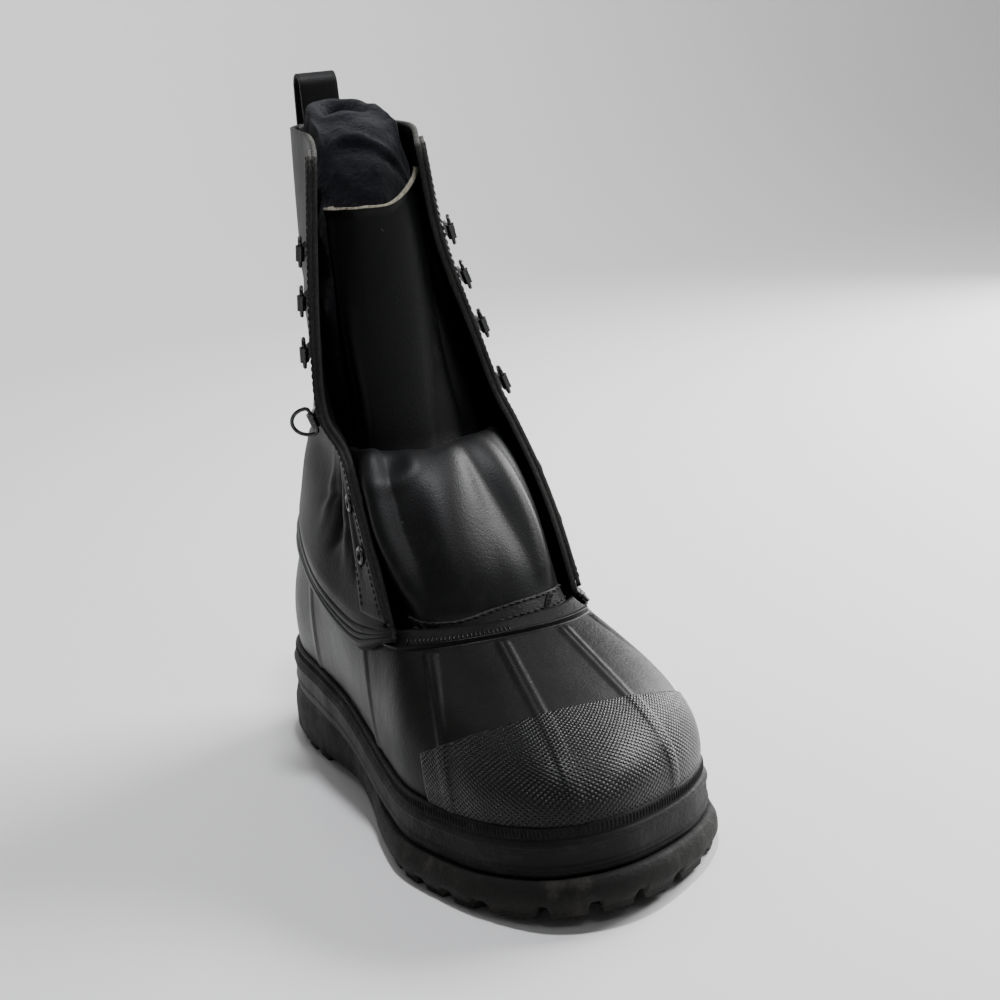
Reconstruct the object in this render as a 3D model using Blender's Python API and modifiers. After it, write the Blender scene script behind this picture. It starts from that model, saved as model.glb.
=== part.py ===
"""Pac boot for a left foot: lugged rubber sole and bottom, leather shaft open at the throat, felt liner.

Metres, +Z up, toe towards -Y, the outer side of the foot towards +X, standing on Z = 0.
"""

import math

import bmesh
import bpy
import numpy as np
from mathutils import Matrix

# Driving sizes of the foot
LENGTH = 0.320
BALL_WIDTH = 0.133
SHAFT_WIDTH = 0.100
INSTEP_HEIGHT = 0.093
COLLAR_HEIGHT = 0.300
TOE_SPRING = 0.007
HEEL_LIFT = 0.013
SPRING_START = -0.28

# Sole and foxing
OUTSOLE_EDGE = 0.015
BUMPER = 0.006
TREAD_INSET = 0.0025
ARCH_RISE = 0.010
ARCH_FRONT = -0.10
BREAST = 0.235
LUG_DEPTH = 0.0055
LUG_GAP = 0.0050
LUG_PITCH = 0.0175
LUG_TURN = math.radians(9)
FOXING_HEIGHT = 0.0215
FOXING_WALL = 0.0030
KNURL_HEIGHT = 0.0060
KNURL_STEP = 0.0012

# Walls
RUBBER_WALL = 0.0030
RIM_BAND_HEIGHT = 0.0090
RIM_BAND_STEP = 0.0014
CAP_WALL = 0.0013
LEATHER = 0.0024
EYESTAY_WALL = 0.0016
TONGUE_WALL = 0.0022
FELT = 0.0060
INSOLE_WALL = 0.0040
SEAM_DEPTH = 0.0180
SWELL = 0.0035
STAND = 0.45

# Fittings
RING_WIRE = 0.0009
RING_HEIGHT = 0.0125
RING_REACH = 0.0105
CLIP_WALL = 0.0010
CLIP_LENGTH = 0.0085
CLIP_WIDTH = 0.0068
BARREL_WALL = 0.0009
RING_PLAY = 0.0002
RING_EDGE = 0.0075
OPEN_RING_ANGLE = math.radians(70)
EYELET_HOLE = 0.0021
EYELET_FLANGE = 0.0042
EYELET_WALL = 0.0006
EYELET_EDGE = 0.0095
LOOP_WIDTH = 0.019
LOOP_HEIGHT = 0.024
LOOP_BELOW = 0.016
LOOP_DEPTH = 0.013
LOOP_WALL = 0.0020

GAP = 0.00035
LEATHER_GAP = 0.00065
EYESTAY_GAP = 0.00055
FITTING_GAP = 0.00145
ROUGH_GAP = 0.0015

# One row for each station round the boot, from the back of the heel over the inner side to the toe and back.
# along and across place the sole's edge, rim_* the top of the rubber, as shares of LENGTH and BALL_WIDTH, and of
# LENGTH, SHAFT_WIDTH and INSTEP_HEIGHT. bumper is how far the foxing stands back, shoulder and drop shape the rubber.
AROUND = [
    # along, across, bumper, rim_along, rim_across, rim_height, shoulder, drop
    (0.497, -0.010, 0.6, 0.456, -0.020, 1.31, 0.30, 0.35),
    (0.481, -0.205, 0.6, 0.441, -0.210, 1.31, 0.30, 0.35),
    (0.422, -0.375, 0.5, 0.388, -0.355, 1.30, 0.30, 0.35),
    (0.328, -0.430, 0.2, 0.313, -0.445, 1.28, 0.30, 0.35),
    (0.203, -0.415, -0.2, 0.225, -0.510, 1.20, 0.30, 0.35),
    (0.094, -0.390, -0.5, 0.131, -0.540, 1.12, 0.30, 0.35),
    (-0.016, -0.415, -0.1, 0.038, -0.515, 1.04, 0.35, 0.35),
    (-0.125, -0.462, 0.6, -0.038, -0.480, 1.01, 0.45, 0.33),
    (-0.231, -0.480, 0.9, -0.103, -0.430, 1.00, 0.58, 0.33),
    (-0.325, -0.428, 1.0, -0.131, -0.340, 1.00, 0.64, 0.38),
    (-0.408, -0.353, 1.0, -0.147, -0.240, 1.00, 0.68, 0.44),
    (-0.483, -0.226, 1.0, -0.155, -0.135, 1.00, 0.70, 0.48),
    (-0.509, -0.075, 1.0, -0.158, -0.025, 1.00, 0.70, 0.49),
    (-0.500, 0.080, 1.0, -0.156, 0.080, 1.00, 0.70, 0.49),
    (-0.458, 0.248, 0.9, -0.150, 0.180, 1.00, 0.70, 0.47),
    (-0.401, 0.398, 0.75, -0.139, 0.270, 1.00, 0.68, 0.42),
    (-0.325, 0.512, 0.6, -0.122, 0.340, 1.00, 0.64, 0.37),
    (-0.231, 0.530, 0.55, -0.100, 0.390, 1.00, 0.58, 0.33),
    (-0.119, 0.478, 0.4, -0.038, 0.445, 1.01, 0.45, 0.33),
    (-0.016, 0.410, 0.2, 0.038, 0.475, 1.04, 0.35, 0.35),
    (0.094, 0.361, 0.0, 0.131, 0.490, 1.12, 0.30, 0.35),
    (0.203, 0.346, 0.1, 0.225, 0.475, 1.20, 0.30, 0.35),
    (0.328, 0.346, 0.3, 0.313, 0.430, 1.28, 0.30, 0.35),
    (0.422, 0.293, 0.5, 0.388, 0.335, 1.30, 0.30, 0.35),
    (0.481, 0.175, 0.6, 0.441, 0.175, 1.31, 0.30, 0.35),
]
STATIONS = len(AROUND)
TOE = 12.5
CAP_FIRST = 8.5
CAP_LAST = 16.5
CAP_TOE_SHARE = 0.54
CAP_SIDE_SHARE = 0.32
INNER_CORNER = 8
OUTER_CORNER = 17
HALF_STEP = 0.5

# The shaft's inner surface, one row for each height from the rubber's rim (0) to the collar (1): the front edge,
# side and back of the inner half, then of the outer half. x is a share of SHAFT_WIDTH and y of LENGTH.
SHAFT = [
    # height, inner_x, inner_y, inner_side_x, side_y, back_x, back_y, outer_side_x, outer_side_y, outer_x, outer_y
    (0.137, -0.430, -0.050, -0.440, 0.206, -0.01, 0.438, 0.455, 0.206, 0.390, -0.050),
    (0.240, -0.425, -0.003, -0.365, 0.219, -0.01, 0.432, 0.420, 0.212, 0.380, 0.000),
    (0.350, -0.420, 0.053, -0.338, 0.231, -0.02, 0.431, 0.390, 0.225, 0.345, 0.053),
    (0.420, -0.465, 0.087, -0.335, 0.238, -0.02, 0.434, 0.370, 0.231, 0.315, 0.087),
    (0.555, -0.465, 0.094, -0.330, 0.244, -0.03, 0.444, 0.325, 0.244, 0.255, 0.106),
    (0.780, -0.430, 0.094, -0.302, 0.250, -0.04, 0.453, 0.255, 0.262, 0.145, 0.125),
    (1.000, -0.385, 0.094, -0.275, 0.256, -0.05, 0.459, 0.210, 0.275, 0.100, 0.131),
]
COLLAR_TILT = 0.030
CORNER_BACK = (0.75, 0.68)
CORNER_SEAM = 0.40

# The tongue's outer face, one row for each place along it, from the throat's seam to its top edge: the middle of
# its panel, the panel's half width and how far its edges lie back, then the gussets' valley and outer edges.
TONGUE = [
    # x, along, height, panel, panel_back, valley_back, inner_edge, outer_edge, edge_back
    (-0.04, -0.135, 0.323, 0.20, 0.009, 0.019, -0.350, 0.320, 0.044),
    (-0.06, -0.116, 0.377, 0.20, 0.014, 0.034, -0.380, 0.340, 0.075),
    (-0.09, -0.081, 0.433, 0.20, 0.019, 0.040, -0.380, 0.350, 0.090),
    (-0.11, -0.038, 0.490, 0.18, 0.019, 0.041, -0.370, 0.345, 0.100),
    (-0.12, 0.000, 0.523, 0.17, 0.019, 0.041, -0.360, 0.335, 0.106),
    (-0.12, 0.028, 0.523, 0.16, 0.019, 0.040, -0.345, 0.325, 0.090),
    (-0.11, 0.052, 0.500, 0.15, 0.016, 0.034, -0.335, 0.315, 0.082),
    (-0.11, 0.069, 0.530, 0.14, 0.016, 0.038, -0.320, 0.305, 0.074),
    (-0.105, 0.084, 0.600, 0.15, 0.020, 0.040, -0.305, 0.270, 0.070),
    (-0.10, 0.103, 0.700, 0.18, 0.026, 0.042, -0.305, 0.205, 0.062),
    (-0.09, 0.119, 0.800, 0.19, 0.034, 0.048, -0.285, 0.130, 0.056),
    (-0.08, 0.134, 0.886, 0.19, 0.040, 0.050, -0.265, 0.115, 0.054),
]
TONGUE_TUCK = (0.016, 0.007, 0.0005)
TONGUE_TIP_RISE = 0.014

# The felt liner's outer face, one closed ring for each row, front height and front place first.
LINER = [
    # front_height, back_height, x_inner, x_outer, side_y, front_x, front_y, back_x, back_y
    (0.352, 0.427, -0.440, 0.415, 0.190, -0.02, -0.100, 0.00, 0.425),
    (0.420, 0.500, -0.385, 0.390, 0.200, -0.03, -0.040, 0.00, 0.415),
    (0.468, 0.560, -0.340, 0.370, 0.212, -0.03, 0.028, 0.00, 0.412),
    (0.507, 0.613, -0.318, 0.350, 0.222, -0.03, 0.084, -0.01, 0.412),
    (0.593, 0.687, -0.308, 0.320, 0.234, -0.04, 0.140, -0.02, 0.419),
    (0.707, 0.773, -0.300, 0.275, 0.244, -0.05, 0.162, -0.03, 0.428),
    (0.817, 0.873, -0.275, 0.220, 0.250, -0.05, 0.178, -0.04, 0.434),
    (0.900, 0.940, -0.260, 0.185, 0.256, -0.05, 0.194, -0.05, 0.420),
    (0.985, 1.010, -0.238, 0.155, 0.269, -0.05, 0.231, -0.05, 0.415),
    (1.008, 1.028, -0.220, 0.130, 0.310, -0.05, 0.272, -0.05, 0.405),
]

ROUND_SIDES = 10


# Curves through the tables' rows

def hermite(knots, values, at, period=None):
    """Smooth curve through values at knots, closed when a period is given."""
    knots = np.asarray(knots, float)
    values = np.asarray(values, float)
    if period:
        at = knots[0] + (at - knots[0]) % period
        knots = np.concatenate([[knots[-1] - period], knots, knots[:2] + period])
        values = np.concatenate([values[-1:], values, values[:2]])
    i = int(np.clip(np.searchsorted(knots, at, side="right") - 1, 0, len(knots) - 2))
    step = knots[i + 1] - knots[i]

    def slope(k):
        low = max(k - 1, 0)
        high = min(k + 1, len(knots) - 1)
        return (values[high] - values[low]) / (knots[high] - knots[low])

    t = (at - knots[i]) / step
    return ((2 * t**3 - 3 * t**2 + 1) * values[i] + (t**3 - 2 * t**2 + t) * step * slope(i)
            + (3 * t**2 - 2 * t**3) * values[i + 1] + (t**3 - t**2) * step * slope(i + 1))


def station(place):
    """The AROUND row at any place round the boot."""
    return hermite(range(STATIONS), AROUND, place, STATIONS)


def smooth(low, high, value):
    t = min(max((value - low) / (high - low), 0.0), 1.0)
    return t * t * (3 - 2 * t)


def lift(y):
    """How far the foot's floor rises above the ball: the heel's lift and the toe's spring."""
    along = y / LENGTH
    return HEEL_LIFT * smooth(-0.19, 0.25, along) + spring_only(y)


def spring_only(y):
    """How far the tread curves up towards the toe's tip."""
    ahead = max(SPRING_START - y / LENGTH, 0.0) / (0.5 + SPRING_START)
    return TOE_SPRING * ahead**2


PLACES = [k * HALF_STEP for k in range(int(STATIONS / HALF_STEP))]
RAW = np.array([[station(p)[1] * BALL_WIDTH, station(p)[0] * LENGTH] for p in PLACES])
CENTRE = (RAW.max(0) + RAW.min(0)) / 2


def sole_edge(place):
    """The outsole's widest outline, centred on the origin, and its outward direction."""
    def point(p):
        row = station(p)
        return np.array([row[1] * BALL_WIDTH, row[0] * LENGTH]) - CENTRE

    ahead = point(place + 0.05) - point(place - 0.05)
    out = np.array([ahead[1], -ahead[0]])
    return point(place), out / np.linalg.norm(out)


def edge_ring(place, inset, height):
    point, out = sole_edge(place)
    x, y = point - out * inset
    return np.array([x, y, height(y)])


def outsole_top(y):
    return OUTSOLE_EDGE + lift(y)


def foxing_top(y):
    return outsole_top(y) + FOXING_HEIGHT


def rubber_foot(place):
    """How far the rubber's lower wall stands in from the sole's edge."""
    return BUMPER * station(place)[2] + FOXING_WALL + GAP


def rubber_profile(place):
    """The rubber's outer face at one place, from the foxing's top to the rim, as points and their distances."""
    row = station(place)
    base = edge_ring(place, rubber_foot(place), foxing_top)
    rim = np.array([row[4] * SHAFT_WIDTH - CENTRE[0], row[3] * LENGTH - CENTRE[1], row[5] * INSTEP_HEIGHT])
    rise = rim[2] - base[2]
    run = np.array([rim[0] - base[0], rim[1] - base[1], 0.0])
    out = np.append(sole_edge(place)[1], 0.0)
    low = base + out * SWELL + np.array([0, 0, STAND * rise])
    high = rim - run * row[6] - np.array([0, 0, row[7] * rise])
    t = np.linspace(0, 1, 60)[:, None]
    points = (1 - t)**3 * base + 3 * (1 - t)**2 * t * low + 3 * (1 - t) * t**2 * high + t**3 * rim
    gone = np.concatenate([[0], np.cumsum(np.linalg.norm(np.diff(points, axis=0), axis=1))])
    return points, gone


def rubber_point(place, below_rim):
    """A point of the rubber's outer face, by its distance below the rim."""
    points, gone = rubber_profile(place)
    want = gone[-1] - below_rim
    return np.array([np.interp(want, gone, points[:, k]) for k in range(3)])


def rubber_share(place, share):
    """A point between the foxing's top (0) and the seam's lower edge (1)."""
    length = rubber_profile(place)[1][-1]
    return rubber_point(place, length - share * (length - SEAM_DEPTH))


def cap_share(place):
    """Where the toe cap's upper edge crosses the wall, highest at the toe and lowest at the cap's two ends."""
    middle = 0.5 * (CAP_FIRST + CAP_LAST)
    away = min(abs(place - middle) / (0.5 * (CAP_LAST - CAP_FIRST)), 1.0)
    return CAP_SIDE_SHARE + (CAP_TOE_SHARE - CAP_SIDE_SHARE) * (1 - away**2)


# Meshes

def surface_mesh(name, rows, closed, cap=False):
    """A sheet of quads through rows of points, closed round when asked, its lowest row capped across."""
    bm = bmesh.new()
    grid = [[bm.verts.new(p) for p in row] for row in rows]
    count = len(grid[0])
    for low, high in zip(grid, grid[1:]):
        for k in range(count if closed else count - 1):
            j = (k + 1) % count
            bm.faces.new((low[k], low[j], high[j], high[k]))
    if cap:
        cap_across(bm, grid[0])
    mesh = bpy.data.meshes.new(name)
    bm.to_mesh(mesh)
    bm.free()
    return mesh


def cap_across(bm, ring, up=False):
    """Closes a foot-shaped ring with strips from its inner to its outer side."""
    count = len(ring)
    for k in range(count // 2):
        left = ring[k], ring[k + 1]
        right = ring[(count - k - 1) % count], ring[(count - k) % count]
        corners = [left[1], left[0], right[1], right[0]]
        face = []
        for vert in corners:
            if vert not in face:
                face.append(vert)
        bm.faces.new(face[::-1] if up else face)


def raised(rows, distance, closed):
    """The rows moved out along the sheet's own normals."""
    mesh = surface_mesh("raised", rows, closed)
    normals = np.array([n.vector[:] for n in mesh.vertex_normals])
    bpy.data.meshes.remove(mesh)
    flat = np.array(rows, float).reshape(-1, 3) + distance * normals
    return flat.reshape(np.array(rows).shape)


def material(name, color, roughness, metallic=0.0):
    mat = bpy.data.materials.new(name)
    mat.use_nodes = True
    shader = mat.node_tree.nodes["Principled BSDF"]
    shader.inputs["Base Color"].default_value = (*color, 1)
    shader.inputs["Roughness"].default_value = roughness
    shader.inputs["Metallic"].default_value = metallic
    mat.diffuse_color = (*color, 1)
    return mat


def add_object(name, mesh, mat, collection):
    obj = bpy.data.objects.new(name, mesh)
    mesh.materials.clear()
    mesh.materials.append(mat)
    mesh.shade_smooth()
    mesh.set_sharp_from_angle(angle=math.radians(40))
    collection.objects.link(obj)
    return obj


def shell(name, rows, wall, mat, closed=False, outwards=True, cap=False):
    """A sheet given its wall, on the outer side of the rows or on the inner."""
    obj = add_object(name, surface_mesh(name, rows, closed, cap), mat, BOOT)
    solidify = obj.modifiers.new("wall", "SOLIDIFY")
    solidify.thickness = wall
    solidify.offset = 1 if outwards else -1
    solidify.use_even_offset = False
    return obj


def evaluated(obj):
    depsgraph = bpy.context.evaluated_depsgraph_get()
    return bpy.data.meshes.new_from_object(obj.evaluated_get(depsgraph))


def cut(obj, cutter, operation="DIFFERENCE", crossing=False):
    boolean = obj.modifiers.new("cut", "BOOLEAN")
    boolean.operation = operation
    boolean.object = cutter
    boolean.solver = "EXACT"
    boolean.use_self = crossing


def cutter_object(name, bm):
    mesh = bpy.data.meshes.new(name)
    bm.to_mesh(mesh)
    bm.free()
    obj = bpy.data.objects.new(name, mesh)
    CUTTERS.objects.link(obj)
    obj.hide_render = True
    obj.display_type = "WIRE"
    return obj


def clear_scene():
    for obj in list(bpy.data.objects):
        bpy.data.objects.remove(obj)
    boot = bpy.data.collections.new("pac_boot")
    cutters = bpy.data.collections.new("cutters")
    bpy.context.scene.collection.children.link(boot)
    bpy.context.scene.collection.children.link(cutters)
    return boot, cutters


BOOT, CUTTERS = clear_scene()

SOLE_RUBBER = material("sole_rubber", (0.020, 0.020, 0.019), 0.62)
BOTTOM_RUBBER = material("bottom_rubber", (0.014, 0.014, 0.013), 0.38)
SHAFT_LEATHER = material("shaft_leather", (0.012, 0.012, 0.013), 0.34)
FELT_CLOTH = material("liner_felt", (0.020, 0.022, 0.042), 0.95)
INSOLE_FELT = material("insole_felt", (0.060, 0.058, 0.055), 0.95)
RING_METAL = material("ring_enamel", (0.016, 0.016, 0.017), 0.30, 0.6)


# Outsole: a slab with the sole's outline, hollowed under the arch and cut into lugs

def make_outsole():
    bottom = [edge_ring(p, TREAD_INSET, spring_only) for p in PLACES]
    widest = [edge_ring(p, 0.0, lambda y: spring_only(y) + 0.4 * OUTSOLE_EDGE) for p in PLACES]
    shoulder = [edge_ring(p, GAP * 3, lambda y: outsole_top(y) - 0.2 * OUTSOLE_EDGE) for p in PLACES]
    ledge = [edge_ring(p, 0.6 * rubber_foot(p), outsole_top) for p in PLACES]
    bm = bmesh.new()
    grid = [[bm.verts.new(v) for v in row] for row in (bottom, widest, shoulder, ledge)]
    for low, high in zip(grid, grid[1:]):
        for k in range(len(low)):
            j = (k + 1) % len(low)
            bm.faces.new((low[k], low[j], high[j], high[k]))
    cap_across(bm, grid[0])
    cap_across(bm, grid[-1], up=True)
    mesh = bpy.data.meshes.new("outsole")
    bm.to_mesh(mesh)
    bm.free()
    sole = add_object("outsole", mesh, SOLE_RUBBER, BOOT)
    cut(sole, arch_cutter())
    cut(sole, lug_cutter(), crossing=True)
    return sole


def arch_cutter():
    """The hollow under the waist, from behind the ball to the heel's breast."""
    profile = [(ARCH_FRONT - 0.02, -0.01)]
    for k in range(7):
        t = k / 6
        along = ARCH_FRONT + (BREAST - ARCH_FRONT - 0.03) * t
        profile.append((along, ARCH_RISE * math.sin(0.5 * math.pi * t)**1.5))
    profile.append((BREAST, 0.0))
    profile.append((BREAST + 0.01, -0.01))
    bm = bmesh.new()
    half = 0.7 * BALL_WIDTH
    sides = [[bm.verts.new((x, a * LENGTH, z)) for a, z in profile] for x in (-half, half)]
    bm.faces.new(sides[0][::-1])
    bm.faces.new(sides[1])
    for k in range(len(profile)):
        j = (k + 1) % len(profile)
        bm.faces.new((sides[0][k], sides[0][j], sides[1][j], sides[1][k]))
    bmesh.ops.recalc_face_normals(bm, faces=bm.faces)
    return cutter_object("arch_cutter", bm)


def groove(bm, centre, length, turn, depth):
    """One straight tread groove, a block across the sole's underside."""
    tall = 2 * depth
    made = bmesh.ops.create_cube(bm, size=1.0)["verts"]
    place = (Matrix.Translation((*centre, 0)) @ Matrix.Rotation(turn, 4, "Z")
             @ Matrix.Diagonal((length, LUG_GAP, tall, 1)))
    bmesh.ops.transform(bm, matrix=place, verts=made)


def lug_cutter():
    """Grooves across the ball and heel, and short notches round the toe and heel."""
    bm = bmesh.new()
    first = -0.385 * LENGTH
    last = ARCH_FRONT * LENGTH
    wide = 0.62 * BALL_WIDTH
    count = int((last - first) / LUG_PITCH)
    for k in range(count + 1):
        y = first + k * LUG_PITCH
        depth = LUG_DEPTH + spring_only(y)
        for side in (-1, 1):
            groove(bm, (side * (0.5 * wide + 1.2 * LUG_GAP), y), wide, side * LUG_TURN, depth)
    for k in range(4):
        y = BREAST * LENGTH + (0.9 + k) * LUG_PITCH
        for side in (-1, 1):
            groove(bm, (side * (0.5 * wide + LUG_GAP), y), wide, -side * LUG_TURN, LUG_DEPTH)
    for place in (9.9, 10.9, 11.9, 12.9, 13.9, 14.9):
        point, out = sole_edge(place)
        x, y = point - out * 0.8 * LUG_GAP
        turn = math.atan2(out[1], out[0])
        groove(bm, (x, y), 4 * LUG_GAP, turn, LUG_DEPTH + spring_only(y))
    for place in (-0.7, 0.7):
        point, out = sole_edge(place)
        x, y = point - out * 0.8 * LUG_GAP
        groove(bm, (x, y), 3.6 * LUG_GAP, math.atan2(out[1], out[0]), LUG_DEPTH)
    return cutter_object("lug_cutter", bm)


# Rubber bottom: one hollow wall from the outsole to the rim, with a raised band at the throat

def band_step(place):
    """The rim band's height out of the wall, which fades out under the leather's corners."""
    return RIM_BAND_STEP * smooth(INNER_CORNER, INNER_CORNER + 0.6, place) * (
        1 - smooth(OUTER_CORNER - 0.6, OUTER_CORNER, place))


def rubber_rows(places):
    foot = [edge_ring(p, rubber_foot(p), lambda y: outsole_top(y) + GAP) for p in places]
    rows = [foot]
    for part in (0.0, 0.25, 0.5, 0.75, 1.0):
        rows.append([rubber_share(p, part * cap_share(p)) for p in places])
    for part in (0.5, 1.0):
        rows.append([rubber_share(p, part + (1 - part) * cap_share(p)) for p in places])
    for below in (RIM_BAND_HEIGHT + RIM_BAND_STEP, RIM_BAND_HEIGHT, 0.0):
        rows.append([rubber_point(p, below) for p in places])
    rows = np.array(rows)
    out = raised(rows, 1.0, True) - rows
    for row in (-2, -1):
        for k, p in enumerate(places):
            rows[row][k] += out[row][k] * band_step(p)
    return rows


def make_rubber_bottom():
    rows = rubber_rows(PLACES)
    return shell("rubber_bottom", rows, RUBBER_WALL, BOTTOM_RUBBER, closed=True, outwards=False)


# Foxing: the band round the rubber's foot, stepped in at its knurled top strip

def make_foxing():
    def ring(inset_from_wall, height):
        return [edge_ring(p, rubber_foot(p) - inset_from_wall, height) for p in PLACES]

    knurl_low = FOXING_HEIGHT - KNURL_HEIGHT
    rows = [
        ring(GAP, lambda y: outsole_top(y) + GAP),
        ring(GAP + FOXING_WALL, lambda y: outsole_top(y) + GAP),
        ring(GAP + FOXING_WALL, lambda y: outsole_top(y) + knurl_low),
        ring(GAP + FOXING_WALL - KNURL_STEP, lambda y: outsole_top(y) + knurl_low + 0.5 * KNURL_STEP),
        ring(GAP + FOXING_WALL - KNURL_STEP, lambda y: foxing_top(y) - 0.65 * KNURL_STEP),
        ring(GAP, lambda y: foxing_top(y) - GAP),
    ]
    bm = bmesh.new()
    grid = [[bm.verts.new(v) for v in row] for row in rows]
    count = len(PLACES)
    for low, high in zip(grid, grid[1:] + grid[:1]):
        for k in range(count):
            j = (k + 1) % count
            bm.faces.new((low[k], low[j], high[j], high[k]))
    mesh = bpy.data.meshes.new("foxing")
    bm.to_mesh(mesh)
    bm.free()
    return add_object("foxing", mesh, SOLE_RUBBER, BOOT)


# Toe cap: a thin moulded layer over the toe, ending in an arc across the vamp

def make_toe_cap():
    first = int(CAP_FIRST / HALF_STEP)
    last = int(CAP_LAST / HALF_STEP)
    rows = raised(rubber_rows(PLACES), GAP, True)[1:6, first:last + 1]
    rows[0][:, 2] += GAP
    return shell("toe_cap", rows, CAP_WALL, BOTTOM_RUBBER)


# Leather shaft: one hollow wall, open at the throat and collar, lapped over the rubber's sides

SHAFT_SPAN = STATIONS - OUTER_CORNER + INNER_CORNER
SHAFT_PLACES = [OUTER_CORNER + k * HALF_STEP for k in range(int(SHAFT_SPAN / HALF_STEP) + 1)]
SHAFT_KNOTS = [OUTER_CORNER, 21, 23, 25, 27, 29, STATIONS + INNER_CORNER]


def collar_height(place):
    """The collar's height, lower at the front edges than at the back."""
    from_back = abs(place - STATIONS) / (STATIONS - OUTER_CORNER)
    return COLLAR_HEIGHT * (1 - COLLAR_TILT * from_back**2)


def shaft_point(place, row):
    """A point of the shaft's inner face, from one SHAFT row."""
    height, ix, iy, isx, isy, bx, by, osx, osy, ox, oy = row
    across, back = CORNER_BACK
    outline = [
        (ox, oy), (osx, osy), (bx + across * (osx - bx), osy + back * (by - osy)), (bx, by),
        (bx + across * (isx - bx), isy + back * (by - isy)), (isx, isy), (ix, iy),
    ]
    x, y = hermite(SHAFT_KNOTS, outline, place)
    rim = rubber_point(place % STATIONS, 0.0)[2]
    z = rim + height * (collar_height(place) - rim)
    return np.array([x * SHAFT_WIDTH - CENTRE[0], y * LENGTH - CENTRE[1], z])


def seam_depth(place):
    from_back = abs(place - STATIONS) / (STATIONS - OUTER_CORNER)
    return SEAM_DEPTH * (1 - (1 - CORNER_SEAM) * smooth(0.8, 1.0, from_back))


SHAFT_HEIGHTS = (0.137, 0.19, 0.24, 0.30, 0.36, 0.42, 0.49, 0.60, 0.73, 0.87, 1.0)


def shaft_rows():
    """The shaft's inner face, from the seam's lower edge up to the collar."""
    ring = rubber_rows(PLACES)
    out = raised(ring, 1.0, True) - ring
    rows = []
    for share in (1.0, 0.5, 0.0):
        row = []
        for p in SHAFT_PLACES:
            k = int(p / HALF_STEP) % len(PLACES)
            normal = out[-1][k] if share == 0.0 else out[-3][k]
            row.append(rubber_point(p % STATIONS, share * seam_depth(p)) + normal * LEATHER_GAP)
        rows.append(row)
    heights = [row[0] for row in SHAFT]
    at_rim = np.array(rows[-1])
    for height in SHAFT_HEIGHTS:
        row = []
        for j, p in enumerate(SHAFT_PLACES):
            points = [at_rim[j]] + [shaft_point(p, r) for r in SHAFT]
            point = hermite([0.0] + heights, points, height)
            row.append(point)
        rows.append(row)
    return np.array(rows)


EYELETS = (0.137, 0.240)
RINGS = (0.420, 0.555, 0.670, 0.780)
EYESTAY_COLUMNS = 3


def make_shaft(rows):
    shaft = shell("shaft", rows, LEATHER, SHAFT_LEATHER)
    cut(shaft, EYELET_CUTTER)
    return shaft


def facing_frame(rows, side, height, from_edge):
    """A place on a facing: its point, the outward normal, the way back from the edge, and the way up."""
    heights = (0.0,) + SHAFT_HEIGHTS
    columns = rows[2:]
    edge = -1 if side == "inner" else 0
    inside = -3 if side == "inner" else 2

    def along(column, h):
        return np.array([np.interp(h, heights, columns[:, column, k]) for k in range(3)])

    point = along(edge, height)
    back = along(inside, height) - point
    up = along(edge, height + 0.03) - along(edge, height - 0.03)
    back /= np.linalg.norm(back)
    up /= np.linalg.norm(up)
    normal = np.cross(up, back) if side == "inner" else np.cross(back, up)
    normal /= np.linalg.norm(normal)
    return point + back * from_edge, normal, back, np.cross(normal, back)


def frame_matrix(point, across, up, normal):
    return Matrix((
        (across[0], up[0], normal[0], point[0]),
        (across[1], up[1], normal[1], point[1]),
        (across[2], up[2], normal[2], point[2]),
        (0, 0, 0, 1),
    ))


def eyelet_cutter(rows):
    bm = bmesh.new()
    radius = EYELET_HOLE + EYELET_WALL + GAP
    for side in ("inner", "outer"):
        for height in EYELETS:
            point, normal, back, up = facing_frame(rows, side, height, EYELET_EDGE)
            frame = frame_matrix(point, np.cross(up, normal), up, normal)
            made = bmesh.ops.create_cone(bm, cap_ends=True, segments=ROUND_SIDES, depth=4 * LEATHER + 4 * EYESTAY_WALL,
                                         radius1=radius, radius2=radius)
            bmesh.ops.transform(bm, matrix=frame, verts=made["verts"])
    return cutter_object("eyelet_cutter", bm)


def make_eyestay(rows, side):
    outer = raised(rows, LEATHER + EYESTAY_GAP, False)
    columns = outer[2:, -EYESTAY_COLUMNS:] if side == "inner" else outer[2:, :EYESTAY_COLUMNS]
    stay = shell(f"eyestay_{side}", columns, EYESTAY_WALL, SHAFT_LEATHER)
    cut(stay, EYELET_CUTTER)
    return stay


# Eyelets: flanged tubes through the eyestay and the leather

def make_eyelet(rows, side, number, height):
    point, normal, back, up = facing_frame(rows, side, height, EYELET_EDGE)
    outside = LEATHER + EYESTAY_WALL + FITTING_GAP
    inside = -GAP
    hole = EYELET_HOLE
    tube = hole + EYELET_WALL
    profile = [
        (hole, inside), (hole, outside + EYELET_WALL), (EYELET_FLANGE - 0.0005, outside + EYELET_WALL),
        (EYELET_FLANGE, outside), (tube, outside), (tube, inside),
    ]
    bm = bmesh.new()
    rings = []
    for k in range(ROUND_SIDES):
        a = 2 * math.pi * k / ROUND_SIDES
        rings.append([bm.verts.new((r * math.cos(a), r * math.sin(a), z)) for r, z in profile])
    for k in range(ROUND_SIDES):
        ring, after = rings[k], rings[(k + 1) % ROUND_SIDES]
        for i in range(len(profile)):
            j = (i + 1) % len(profile)
            bm.faces.new((ring[i], ring[j], after[j], after[i]))
    bmesh.ops.recalc_face_normals(bm, faces=bm.faces)
    bmesh.ops.transform(bm, matrix=frame_matrix(point, np.cross(up, normal), up, normal), verts=bm.verts)
    mesh = bpy.data.meshes.new(f"eyelet_{side}_{number}")
    bm.to_mesh(mesh)
    bm.free()
    return add_object(mesh.name, mesh, RING_METAL, BOOT)


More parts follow.
